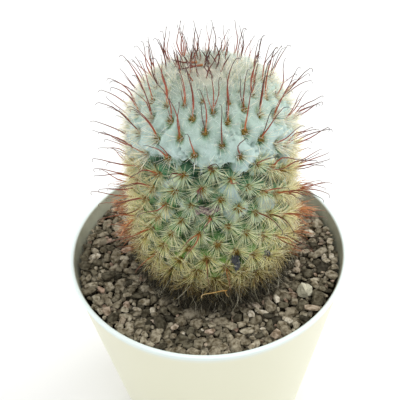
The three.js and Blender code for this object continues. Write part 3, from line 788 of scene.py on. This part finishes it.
def grain_form(size):
    """How a grain is leant, drawn out and flattened: its turn, its shape and its flatness."""
    flat = mix(0.34, 0.68, rng.random())
    if rng.random() < 0.1:
        flat = 0.3
    leaning = Vector((rng.random() - 0.5, rng.random() - 0.5, 0)).normalized()
    turned = Matrix.Rotation(0.9 * (rng.random() - 0.5), 4, leaning)
    turned = turned @ Matrix.Rotation(TURN * rng.random(), 4, "Z")
    shape = Matrix.Diagonal((size * mix(1.0, 1.55, rng.random()), size * 0.9, size * flat, 1))
    return turned, shape, flat


def grain_places():
    """Places of the grains, spaced by their sizes, with room for the stone and a heap by the wall."""
    outer = pot_inside(GRIT_LEVEL - 1) - 0.4
    places = []
    taken = np.zeros((sum(row[0] for row in GRAIN_LAYERS), 3))
    used = 0
    for layer, (count, seat, least, most) in enumerate(GRAIN_LAYERS):
        lowest = layer == LOWEST_LAYER
        first = used if lowest else 0
        closeness = 0.7 if lowest else 0.84
        made = 0
        for _ in range(count * TRIES_PER_GRAIN):
            if made == count:
                break
            size = mix(least, most, rng.random() ** 1.4)
            radius = math.sqrt(mix(BED_INNER_RADIUS ** 2, (outer - 0.7 * size) ** 2, rng.random()))
            turn = TURN * rng.random()
            x = radius * math.cos(turn) + STEM_X * (1 - radius / outer)
            y = radius * math.sin(turn)
            if math.hypot(x, y) > outer - 0.7 * size:
                continue
            if not lowest and (Vector((x, y)) - STONE_CENTRE).length < 2.4 + size:
                continue
            others = taken[first:used]
            apart = np.hypot(others[:, 0] - x, others[:, 1] - y)
            if np.any(apart < closeness * (size + others[:, 2])):
                continue
            taken[used] = x, y, size
            used += 1
            made += 1
            turned, shape, flat = grain_form(size)
            foot = math.hypot(x - STEM_X, y)
            if foot < 29 and not lowest:
                continue
            heap = 2.2 * smooth(math.hypot(x, y), 44, 56) * smooth(-y, -30, 5)
            top = GRIT_LEVEL + seat + mix(0.5, 2.2, rng.random()) - 1.2 * (1 - smooth(foot, 26, 34))
            z = min(top, GRIT_TOP) + heap - size * flat * 1.05
            tone = clamp(0.49 + 0.25 * rng.standard_normal())
            which = int(rng.integers(GRAIN_SHAPES))
            places.append((which, Matrix.Translation((x, y, z)) @ turned @ shape, tone))
    return places


def build_grit():
    """Loose broken grains over a plain dark bed."""
    grains = [stone_template(seed) for seed in range(GRAIN_SHAPES)]
    copies("grit_grains", lava_material(), grains, grain_places(), "grit", smooth_faces=False)

    level = GRIT_LEVEL - BED_DEPTH
    bottom = FLOOR_TOP + GAP
    outline = [
        (ROOT_RADIUS + GAP, level), (pot_inside(level) - GAP, level),
        (pot_inside(bottom) - GAP, bottom), (ROOT_TIP_RADIUS + GAP, bottom),
    ]
    bm = bmesh.new()
    turn_outline(bm, [bm.verts.new((radius, 0, z)) for radius, z in outline], BED_STEPS)
    finish(bm, "grit_bed", bed_material())


def cut_reach(out, cuts):
    """How far a unit ball reaches along out once flat cuts are made across it."""
    reach = 1.0
    for normal, distance in cuts:
        facing = out.dot(Vector(normal).normalized())
        if facing > 0.05:
            reach = min(reach, distance / facing)
    return reach


def build_stone():
    """A broken piece: a ball cut flat by a few planes, its edges rounded, with a worn, pitted face."""
    bm = bmesh.new()
    bmesh.ops.create_icosphere(bm, subdivisions=5, radius=1)
    cuts = (
        ((0.1, -0.3, 0.95), 0.7), ((-0.7, -0.6, 0.5), 0.66), ((0.6, -0.7, 0.45), 0.68),
        ((0.3, 0.8, 0.5), 0.58), ((0, 0, -1), 0.6), ((-0.6, 0.75, 0.2), 0.66),
        ((-0.1, -0.95, -0.1), 0.7),
    )
    for vert in bm.verts:
        out = vert.co.normalized()
        worn = 0.09 * noise.noise(out * 2.3) + 0.05 * noise.noise(out * 6) + 0.02 * noise.noise(out * 14)
        vert.co = out * (cut_reach(out, cuts) + worn)
    bmesh.ops.smooth_vert(
        bm, verts=bm.verts, factor=0.5, use_axis_x=True, use_axis_y=True, use_axis_z=True,
    )
    bmesh.ops.scale(bm, vec=STONE_SIZE, verts=bm.verts)
    seat = GRIT_LEVEL + 0.7 + 0.6 * STONE_SIZE.z
    bmesh.ops.translate(bm, vec=(STONE_CENTRE.x, STONE_CENTRE.y, seat), verts=bm.verts)
    finish(bm, "pale_stone_body", stone_material(), "pale_stone")


# Stem and wool

def revolve(rows, steps):
    """A surface of revolution from (radius, height above the grit) rows, apex first."""
    bm = bmesh.new()
    verts = [bm.verts.new((STEM_X + r, 0, GRIT_LEVEL + h)) for r, h in rows]
    edges = [bm.edges.new(pair) for pair in zip(verts, verts[1:])]
    bmesh.ops.spin(
        bm, geom=verts + edges, axis=(0, 0, 1), cent=(STEM_X, 0, 0), angle=TURN, steps=steps, use_merge=True,
    )
    bmesh.ops.remove_doubles(bm, verts=bm.verts, dist=1e-4)
    return bm


def outward(place):
    """The stem's outward direction at a place on its side."""
    h = place.z - GRIT_LEVEL
    k = len(side) - 1 - int(np.searchsorted(side[::-1, 1], h))
    k = int(clamp(k, 1, len(side) - 1))
    radius = math.hypot(place.x - STEM_X, place.y)
    if radius < 6:
        k = max(1, int(np.searchsorted(side[:, 0][:APEX_ROWS], radius)))
    a, b = side[max(0, k - 4)], side[min(len(side) - 1, k + 4)]
    slope = Vector((b[0] - a[0], b[1] - a[1])).normalized()
    if radius < 1e-6:
        return Vector((0, 0, 1))
    out = Vector(((place.x - STEM_X) / radius, place.y / radius, 0))
    return (out * -slope.y + Vector((0, 0, slope.x))).normalized()


def side_rows(count, first=0.0, last=1.0):
    """Rows of the stem's side at even steps of way, between two shares of its length."""
    ways = np.linspace(side[-1, 2] * first, side[-1, 2] * last, count)
    radius = np.interp(ways, side[:, 2], side[:, 0])
    height = np.interp(ways, side[:, 2], side[:, 1])
    radius[0] = 0.0 if first == 0 else radius[0]
    return list(zip(radius, height))


def furrow_depth(tubercle, edge):
    """How far the skin lies below the tubercle tips, for a share of the way to the cell's edge."""
    round_tip = clamp((edge - 0.1) / 0.9)
    depth = TUBERCLE_SHARE * tubercle.pitch * (0.25 * round_tip + 0.75 * round_tip ** 1.6)
    return depth * mix(0.45, 1, smooth(tubercle.height, 4, 12))


def build_stem():
    """The skin: a dome sunk between the tubercle tips, with its neck in the grit."""
    bm = revolve(side_rows(SKIN_ROWS) + STEM_FOOT, SKIN_STEPS)
    # This value darkens the skin's colour towards the furrows and on the neck, as painted shade.
    layer = bm.verts.layers.float.new("furrow_shade")
    for vert in bm.verts:
        if vert.co.z - GRIT_LEVEL < STEM_PROFILE[-1][1] - 0.01:
            vert[layer] = 1.0
            continue
        tubercle, edge = cell_at(vert.co)
        vert[layer] = edge
        vert.co -= outward(vert.co) * furrow_depth(tubercle, edge)
    finish(bm, "stem_skin", skin_material(), "cactus")


def wool_cover(place):
    """How much wool covers the stem at a place, from 0 to 1."""
    angle = math.atan2(place.y, place.x - STEM_X)
    front = (0.5 - 0.5 * math.sin(angle)) ** 2
    edge = mix(WOOL_BACK_HEIGHT, WOOL_FRONT_HEIGHT, front) + 7 * front * math.sin(2 * angle) ** 2
    height = place.z - GRIT_LEVEL
    patch = noise.noise(place * 0.11)
    ragged = 12 * patch + 6 * noise.noise(place * 0.3) + 4 * noise.noise(place * 0.9)
    cover = smooth(height + ragged, edge - 9, edge + 2)
    low = 0.55 * smooth(patch, 0.02, 0.3) * smooth(height, 34, 48)
    return max(cover, low)


def hollow_way(place, tubercle):
    """The way to a tubercle's tip, counted short below it, and above it on the crown, where hooks lean."""
    off = place - tubercle.tip
    rise = off.dot(tubercle.upward)
    above = mix(1.1, 0.55, smooth(tubercle.height, 76, 86))
    return math.hypot(off.dot(tubercle.across), rise * (above if rise > 0 else 0.68))


def wool_height(place, tubercle, edge):
    """The wool's height over the tubercle tips, and the depth of its mat, which also sets the painted shade
    in the hollows round the areoles.
    """
    cover = wool_cover(place)
    skin = -furrow_depth(tubercle, edge)
    near = hollow_way(place, tubercle)
    opened = smooth(tubercle.grown, 0.52, 0.74)
    hole = 0.75 * tubercle.grown
    puff = 0.15 * tubercle.pitch + 1.0 * noise.noise(place * 0.13) * tubercle.grown
    puff += 0.35 * noise.noise(place * 0.45)
    risen = smooth(near, hole, hole + 0.3 * tubercle.pitch)
    full = mix(-0.2, puff, risen)
    if near < hole:
        full = mix(-0.9, -0.2, near / hole)
    full = mix(0.5 + 0.6 * noise.noise(place * 0.3), full, opened)
    height = mix(skin - 1.2, full, cover)
    # Low in the hollows round the areoles: this also drives the wool's painted hollow shade.
    thickness_and_shade = min(smooth(height - skin, -0.2, 2.6), mix(0.15, 1, risen))
    return height, mix(1, thickness_and_shade, opened)


def build_wool():
    """The mat: the stem's side raised where wool covers it, and cut away where it lies under the skin."""
    bm = revolve(side_rows(WOOL_ROWS, 0.0, WOOL_SHARE), WOOL_STEPS)
    # This value also sets the painted shade in the wool's hollows.
    layer = bm.verts.layers.float.new("thickness_and_shade")
    hidden = []
    for vert in bm.verts:
        tubercle, edge = cell_at(vert.co)
        height, thickness_and_shade = wool_height(vert.co, tubercle, edge)
        vert[layer] = thickness_and_shade
        if height < -furrow_depth(tubercle, edge) - 1.1:
            hidden.append(vert)
        vert.co += outward(vert.co) * height
    bmesh.ops.delete(bm, geom=hidden, context="VERTS")
    finish(bm, "wool_mat", wool_material(), "wool")


def build_wool_hair():
    """Loose hair over the mat: short curved strands that lie along it and lift at their ends."""
    shapes = [
        template(sweep(bent_way(HAIR_LENGTH, bend, 3, sideways), 0.06, 0.03, 3))
        for bend, sideways in ((40, 0.2), (70, -0.3), (25, 0.5), (100, 0.1))
    ]
    places = []
    for k in range(HAIR_TRIES):
        way = side[-1, 2] * HAIR_SHARE * math.sqrt(scatter(k, 111))
        radius = float(np.interp(way, side[:, 2], side[:, 0]))
        height = float(np.interp(way, side[:, 2], side[:, 1]))
        turn = TURN * scatter(k, 112)
        foot = Vector((STEM_X + radius * math.cos(turn), radius * math.sin(turn), GRIT_LEVEL + height))
        if wool_cover(foot) < mix(0.06, 0.6, scatter(k, 113)):
            continue
        tubercle, edge = cell_at(foot)
        normal = outward(foot)
        height, thickness_and_shade = wool_height(foot, tubercle, edge)
        if thickness_and_shade < 0.35:
            continue
        flat = Vector((sway(k, 114), sway(k, 115), sway(k, 116)))
        upright = 1.6 * smooth(foot.z - GRIT_LEVEL, 84, 92)
        lift = mix(0.02, 0.5, scatter(k, 117) ** 2) + upright * scatter(k, 120)
        aim = (flat - normal * flat.dot(normal)).normalized() + normal * lift
        bend = -normal + 0.5 * flat
        size = mix(0.6, 1.2, scatter(k, 118))
        strand = standing(foot + normal * (height - 0.1), aim.normalized(), bend, size)
        places.append((k % len(shapes), strand, scatter(k, 119)))
    copies("wool_hair", hair_material(), shapes, places)


# Spines

def side_share(t):
    """From 0 on the front of the stem to 1 on its sides and back."""
    return smooth(max(abs(t.out.x), t.out.y), 0.4, 0.85)


def age(t):
    """From 0 on a fresh tubercle to 1 on an old one low down."""
    return 1 - smooth(t.height, 14, 44)


def radial_count(t):
    """How many radials a tubercle bears: fewer in the wool, and fewest at its front and on the crown."""
    if not t.woolly:
        return int(mix(108, 124, age(t)))
    middle = 1 - smooth(abs(t.out.x), 0.6, 0.85)
    facing = max(smooth(-t.out.y, 0.35, 0.8), smooth(t.height, 86, 92)) * middle
    behind = smooth(t.out.y, -0.2, 0.4) * smooth(t.height, 76, 86)
    return int(mix(32, 66, t.grown ** 2) * mix(1, 0.25, facing) * (1 + behind))


def radial_place(t, k, count):
    """Where radial k of a tubercle stands, or None where the scar or the grit is in its way."""
    key = 100 * t.index + k
    old = age(t)
    dead = 1 - smooth(t.height, 9, 15)
    turn = TURN * (k + 0.8 * sway(key, 61)) / count
    if t.woolly:
        raised = mix(48, 80, scatter(key, 62))
        spread = mix(1.0, 4.5, scatter(key, 60))
    else:
        steep = mix(48, 68, smooth(t.height, 30, 55))
        least, most = (12, 30) if k % 2 else (30, steep)
        raised = mix(least, most, scatter(key, 62)) + 14 * old * sway(key, 67)
        spread = 0.6 + 2.2 * old * scatter(key, 60)
    aim = t.aim(turn, math.radians(min(raised, 88)))
    unruly = Vector((sway(key, 57), sway(key, 58), sway(key, 59))) * mix(0.2, 0.5, old)
    sag = Vector((0, 0, -0.3 * old * scatter(key, 65) - 0.9 * dead))
    aim = (aim + unruly + sag).normalized()
    foot = t.tip + (aim - t.axis * aim.dot(t.axis)) * spread - t.axis * 0.3
    shorter = 1 - 0.4 * smooth(t.height, 78, 90) * smooth(t.out.y, 0.1, 0.8)
    full = 1 - 0.4 * scatter(t.index, 54) * max(0.0, math.cos(turn - TURN * scatter(t.index, 55)))
    size = mix(0.72, 1.2, scatter(key, 63)) * mix(0.35, 1, t.grown) * shorter * full
    near_scar = (foot + 4 * aim - SCAR_PLACE).length < SCAR_CLEARANCE and scatter(key, 56) < 0.5
    if near_scar or foot.z + aim.z * 7 * size < GRIT_LEVEL + 0.8:
        return None
    bend = -t.axis + 0.9 * Vector((sway(key, 64), sway(key, 68), sway(key, 69))) * (0.4 + old)
    return standing(foot, aim, bend, size)


def build_radials():
    """Bristles on the crown, white stars in front, the same stars beside them painted cream as backlight
    glow, and a straw tangle low down.
    """
    straight = [
        template(sweep(bent_way(RADIAL_LENGTH, bend, 2), 0.11, 0.04, 3)) for bend in (-12, 8, 20, 34)
    ]
    tangled = [
        template(sweep(bent_way(OLD_RADIAL_LENGTH, bend, 3, sideways), 0.12, 0.045, 3))
        for bend, sideways in ((-30, 0.25), (25, -0.3), (55, 0.2), (80, -0.2), (40, 0.4))
    ]
    crown, front, edge, lower = [], [], [], []
    for t in tubercles[APEX_BURIED:]:
        if t.grown < 0.44:
            continue
        count = radial_count(t)
        for k in range(count):
            key = 100 * t.index + k
            place = radial_place(t, k, count)
            if place is None:
                continue
            if t.woolly:
                crown.append((k % len(straight), place, scatter(key, 66)))
            elif scatter(key, 70) < smooth(t.height, 18, 42):
                # Painted light: radials at the sides and behind get the cream material, which stands in for
                # backlight glowing at the stem's edges.
                group = edge if scatter(key, 43) < side_share(t) else front
                group.append((k % len(straight), place, scatter(key, 66)))
            else:
                lower.append((k % len(tangled), place, scatter(key, 66)))
    copies("radial_spines_crown", bristle_material(), straight, crown)
    copies("radial_spines", white_radial_material(), straight, front)
    copies("radial_spines_edge", backlit_radial_material(), straight, edge)
    copies("radial_spines_old", old_radial_material(), tangled, lower)


def hook_direction(t):
    """Steep on the dome, nearly level low on the side, leaning back at the front of the crown."""
    steep = math.degrees(math.asin(clamp(t.axis.z, -1, 1)))
    rise = mix(HOOK_LOW_RISE, HOOK_RISE, smooth(t.height, 40, 72)) + 7 * sway(t.index, 21)
    angle = math.radians(clamp(steep + rise, HOOK_LOWEST, HOOK_STEEPEST))
    out = Matrix.Rotation(math.radians(9 * sway(t.index, 22)), 3, "Z") @ t.out
    lean = HOOK_LEAN * smooth(t.height, 76, 86) * max(0.0, -t.out.y)
    return (out * math.cos(angle) + Vector((0, lean, math.sin(angle)))).normalized()


def bears_no_hook(t):
    """True on the very top, at the foot, and by chance low down and in the middle of the front."""
    low = 1 - smooth(t.height, 18, 38)
    middle = smooth(t.height, 30, 38) * (1 - smooth(t.height, 62, 70))
    front = 1 - side_share(t)
    crown = t.height > 94.5 and t.tip.y < 2
    return crown or t.height < 20 or scatter(t.index, 79) < front * max(0.8 * middle, low) + 0.5 * low


def thin_chances(t):
    """How likely a first and a second thinner central stand beside the hooked one."""
    if t.height > 84:
        return 0.9, 0.45
    if t.woolly:
        return 0.6, 0.3
    return 0.4, 0.2


def central_places(t, hooked):
    """The hooked central of a tubercle and the thinner ones beside it, hooked being the hooked templates."""
    low = 1 - smooth(t.height, 18, 38)
    size = mix(mix(1, 0.62, low), YOUNG_HOOK_LENGTH / HOOK_LENGTH, t.young)
    shorter = 0.14 * smooth(t.height, 76, 88)
    size *= 0.88 + 0.24 * scatter(t.index, 23) - shorter * smooth(t.out.y, -0.2, 0.6)
    main = hook_direction(t)
    down = t.out * 0.6 + Vector((0, 0, -1))
    bend = Matrix.Rotation(1.2 * sway(t.index, 24), 3, main) @ down
    foot = t.tip - main * 0.5
    room = (SPINE_TOP - foot.z) / (HOOK_REACH * max(main.z, 0.1))
    places = [(t.index % hooked, standing(foot, main, bend, min(size, room)), scatter(t.index, 71))]
    for k, chance in enumerate(thin_chances(t)):
        key = 10 * t.index + k
        if scatter(key, 70) > chance:
            continue
        spread = Vector((sway(key, 72), sway(key, 73), 0.6 * sway(key, 80)))
        aim = (main + mix(0.06, 0.28, scatter(key, 81)) * spread).normalized()
        kind = hooked + k % 2 if scatter(key, 74) < 0.35 else int(hooked * scatter(key, 75))
        scale = min(mix(0.5, 0.95, scatter(key, 76)) * size, 0.97 * room * main.z / max(aim.z, main.z))
        turned = Matrix.Rotation(0.4 * sway(key, 77), 3, aim) @ bend
        places.append((kind, standing(t.tip - aim * 0.4, aim, turned, scale), scatter(key, 78)))
    return places


def apex_places(young):
    """Short dark spines that cross each other on the apex and two that lie on it."""
    places = []
    for k in range(APEX_SPINES):
        turn = k * GOLDEN_ANGLE
        reach = 1.5 * math.sqrt(k + 0.5)
        foot = Vector((STEM_X - 3 + reach * math.cos(turn), 1 + reach * math.sin(turn), GRIT_LEVEL + 97.2))
        aim = Vector((0.9 * sway(k, 91), 0.5 + 0.8 * sway(k, 92), 1.2)).normalized()
        bend = Vector((sway(k, 93), sway(k, 94), -0.3))
        place = standing(foot, aim, bend, mix(0.75, 1.2, scatter(k, 95)))
        places.append((young + k % 3, place, 0.3 * scatter(k, 97)))
    for k, (x, y, aim) in enumerate(((1, 1, (-1, -0.3, 0.05)), (-1, 3, (-0.95, -0.1, 0.2)))):
        foot = Vector((x, y, GRIT_LEVEL + 99.6))
        place = standing(foot, Vector(aim).normalized(), Vector((0, 0, -1)), 1.3)
        places.append((young + k, place, 0.25))
    return places


def build_centrals():
    """Hooked centrals, arching out and over, with up to two thinner ones beside each."""
    shapes = [
        template(sweep(bent_way(HOOK_SHAFT, bend, 6, sideways, curl, 5, HOOK_CURL), 0.35, 0.1, 5, 0.85))
        for bend, sideways, curl in (
            (30, 0.12, 130), (18, -0.22, 150), (44, 0.06, 90), (8, 0.3, 165),
            (26, -0.34, 70), (54, 0.1, 110), (36, 0.38, 170), (14, -0.14, 55),
        )
    ]
    hooked = len(shapes)
    shapes += [template(sweep(bent_way(STRAIGHT_LENGTH, bend, 4), 0.26, 0.08, 4)) for bend in (12, -18)]
    young = len(shapes)
    shapes += [
        template(sweep(bent_way(YOUNG_LENGTH, bend, 4, 0.12), 0.42, 0.13, 5, 0.7)) for bend in (14, -22, 35)
    ]
    places = []
    for t in tubercles[APEX_BURIED:]:
        if not bears_no_hook(t):
            places += central_places(t, hooked)
    places += apex_places(young)
    copies("central_spines", central_material(), shapes, places)


def build_tufts():
    """Brushes of thin coral spines, level, low on the sides: none in front and fewer behind."""
    shapes = [
        template(sweep(bent_way(TUFT_LENGTH, bend, 4, sideways), 0.2, 0.07, 3))
        for bend, sideways in ((20, 0.2), (45, -0.2), (-15, 0.3), (70, 0.1))
    ]
    places = []
    for t in tubercles:
        share = smooth(t.height, 6, 14) * (1 - smooth(t.height, 34, 46))
        share *= smooth(t.out.y, -0.5, 0.0) * (1 - 0.6 * smooth(t.out.y, 0.2, 0.7))
        lean = Vector((0.3 * sway(t.index, 46), 0.3 * sway(t.index, 45), 0.25 * sway(t.index, 44)))
        for k in range(round(TUFT_COUNT * share * mix(0.2, 1.6, scatter(t.index, 48)))):
            key = 70 * t.index + k
            stray = Vector((0.35 * sway(key, 82), 0.35 * sway(key, 83), 0.3 * sway(key, 84) - 0.04))
            aim = t.out + lean + stray
            if t.height < 16:
                aim.z = abs(aim.z)
            aim.normalize()
            size = mix(0.5, 1.0, scatter(key, 85))
            place = standing(t.tip - t.axis * 0.3, aim, Vector((sway(key, 86), sway(key, 87), -0.6)), size)
            tone = 0.6 * scatter(key, 88) + 0.4 * scatter(t.index, 47)
            places.append((k % len(shapes), place, tone))
    copies("central_spines_low", coral_material(), shapes, places)


def build_dead_spines():
    """A skirt of grey and brown dead spines that hangs from the foot of the stem on to the grit."""
    shapes = [
        template(sweep(bent_way(DEAD_LENGTH, bend, 4, sideways), 0.12, 0.05, 3))
        for bend, sideways in ((20, 0.2), (-25, 0.3), (50, -0.2), (5, -0.4))
    ]
    lowest = STEM_PROFILE[-1][1]
    stem = Vector((STEM_X, 0, GRIT_LEVEL))
    places = []
    for k in range(DEAD_SPINES):
        turn = TURN * scatter(k, 101)
        height = mix(1.0, 15, scatter(k, 102))
        if height > lowest:
            radius = float(np.interp(height, side[::-1, 1], side[::-1, 0])) + mix(-0.8, 1.6, scatter(k, 99))
        else:
            radius = mix(22.5, 25.5, height / lowest)
        out = Vector((math.cos(turn), math.sin(turn), 0))
        foot = stem + out * radius + Vector((0, 0, height))
        around = Matrix.Rotation(0.2 * sway(k, 104), 3, "Z") @ out
        spread = (10.5 - 2.5 * out.y) * mix(1, 0.5, height / 15)
        reach = max(radius, 27) + mix(1.5, spread, scatter(k, 103) ** 1.3)
        level = mix(1.8, 4.0, scatter(k, 105)) + 0.4 * height * scatter(k, 110)
        way = stem + around * reach + Vector((0, 0, level)) - foot
        bend = Vector((sway(k, 106), sway(k, 107), 0.8 + sway(k, 108)))
        place = standing(foot, way.normalized(), bend, way.length / DEAD_REACH)
        places.append((k % len(shapes), place, scatter(k, 109)))
    copies("dead_spines", dead_spine_material(), shapes, places)


def build_felt():
    """A domed pad of felt on each grown areole, with short fur standing out of it."""
    bm = bmesh.new()
    bmesh.ops.create_icosphere(bm, subdivisions=2, radius=1)
    dome = template(bm)
    fur = template(sweep(bent_way(1.3, 25, 2), 0.17, 0.08, 3))
    places = []
    for t in tubercles[APEX_BURIED:]:
        if t.grown < 0.6:
            continue
        most = 1.35 if t.woolly else 1.6
        size = mix(0.4, most, t.grown) * mix(0.85, 1.15, scatter(t.index, 96))
        shape = Matrix.Diagonal((0.9 * size, 1.1 * size, 0.65 * size, 1))
        places.append((0, standing(t.tip - t.axis * 0.35, t.axis, t.upward) @ shape, scatter(t.index, 81)))
        for k in range(FELT_HAIRS):
            key = 30 * t.index + k
            turn = TURN * scatter(key, 52)
            aim = t.aim(turn, math.radians(mix(25, 88, scatter(key, 53))))
            foot = t.tip + (aim - t.axis * aim.dot(t.axis)) * 0.6 * size - t.axis * 0.1
            place = standing(foot, aim, t.axis, size * mix(0.7, 1.2, scatter(key, 50)))
            places.append((1, place, scatter(key, 49)))
    copies("areole_felt", felt_material(), [dome, fur], places)


# Marks of age

def lump(name, at_angle, height, proud, size, finish_material, seed):
    """A small rough lump on the side of the stem, size being across, up and out."""
    turn = math.radians(at_angle)
    out = Vector((math.cos(turn), math.sin(turn), 0))
    radius = float(np.interp(height, side[::-1, 1], side[::-1, 0]))
    bm = bmesh.new()
    bmesh.ops.create_icosphere(bm, subdivisions=3, radius=1)
    for vert in bm.verts:
        coarse = noise.noise(vert.co * 1.3 + Vector((seed, 0, 0)))
        vert.co *= 1 + 0.9 * coarse + 0.7 * noise.noise(vert.co * 3.2)
    across = Vector((0, 0, 1)).cross(out)
    turned = Matrix((across, Vector((0, 0, 1)), out)).transposed().to_4x4()
    place = out * (radius + proud) + Vector((STEM_X, 0, GRIT_LEVEL + height))
    move = Matrix.Translation(place) @ turned @ Matrix.Diagonal((*size, 1))
    bmesh.ops.transform(bm, matrix=move, verts=bm.verts)
    finish(bm, name, finish_material)


def build_marks():
    """Two corky scars at the front right, a caught bit of husk and one bent straw-coloured spine."""
    cork = cork_material()
    for name, turn, height, proud, size, seed in SCARS:
        lump(name, turn, height, proud, size, cork, seed)
    husk = husk_material()
    for k, (turn, height, wide) in enumerate(HUSKS):
        lump(f"husk_{k}", turn, height, 0.9, (wide, 0.7 * wide, 0.7), husk, 9 + k)

    long_one = template(sweep(bent_way(15, 42, 8, 0.3, 120, 5, 2.6), 0.24, 0.14, 5))
    short_one = template(sweep(bent_way(9, 25, 5, 0.2), 0.22, 0.12, 5))
    long_aim = Vector((-0.97, 0.05, -0.12)).normalized()
    short_aim = Vector((0.3, -0.05, -0.9)).normalized()
    long_place = standing(Vector((6.5, -39.5, 118.6)), long_aim, Vector((0, -0.2, -1)), 0.72)
    short_place = standing(Vector((5.6, -39.5, 118.9)), short_aim, Vector((1, -0.3, 0)), 0.5)
    places = [(0, long_place, 0.8), (1, short_place, 0.8)]
    copies("straw_spine", straw_material(), [long_one, short_one], places)


# Stage

def build_stage():
    """A plain pale floor, soft daylight with window light from the sides, and the fitted camera."""
    bm = bmesh.new()
    bmesh.ops.create_grid(bm, x_segments=1, y_segments=1, size=FLOOR_SIZE)
    mesh = bpy.data.meshes.new("floor")
    bm.to_mesh(mesh)
    bm.free()
    floor = bpy.data.objects.new("floor", mesh)
    bpy.context.scene.collection.objects.link(floor)
    made, _, shader = material("plain pale floor", 0.9)
    shader.inputs["Base Color"].default_value = linear("#e2e2e1")
    mesh.materials.append(made)

    world = bpy.data.worlds.new("soft daylight")
    bpy.context.scene.world = world
    world.use_nodes = True
    sky = world.node_tree.nodes["Background"]
    sky.inputs["Color"].default_value = (1, 1, 1, 1)
    sky.inputs["Strength"].default_value = DAYLIGHT
    bpy.context.scene.view_settings.view_transform = "Standard"

    for name, energy, angle, aim in LIGHTS:
        lamp = bpy.data.lights.new(name, "SUN")
        lamp.energy = energy
        lamp.angle = math.radians(angle)
        holder = bpy.data.objects.new(name, lamp)
        holder.rotation_euler = Vector(aim).to_track_quat("-Z", "Y").to_euler()
        bpy.context.scene.collection.objects.link(holder)

    camera = bpy.data.cameras.new("camera")
    camera.lens = CAMERA_LENS
    camera.sensor_width = SENSOR_WIDTH
    camera.clip_start = 0.01
    forward = CAMERA_RIGHT.cross(CAMERA_DOWN)
    facing = Matrix((CAMERA_RIGHT, -CAMERA_DOWN, -forward)).transposed().to_4x4()
    holder = bpy.data.objects.new("camera", camera)
    holder.matrix_world = Matrix.Translation(CAMERA_PLACE * MM) @ facing
    bpy.context.scene.collection.objects.link(holder)
    bpy.context.scene.camera = holder


build_stage()
build_pot()
build_grit()
build_stone()
build_stem()
build_wool()
build_wool_hair()
build_felt()
build_radials()
build_centrals()
build_tufts()
build_dead_spines()
build_marks()
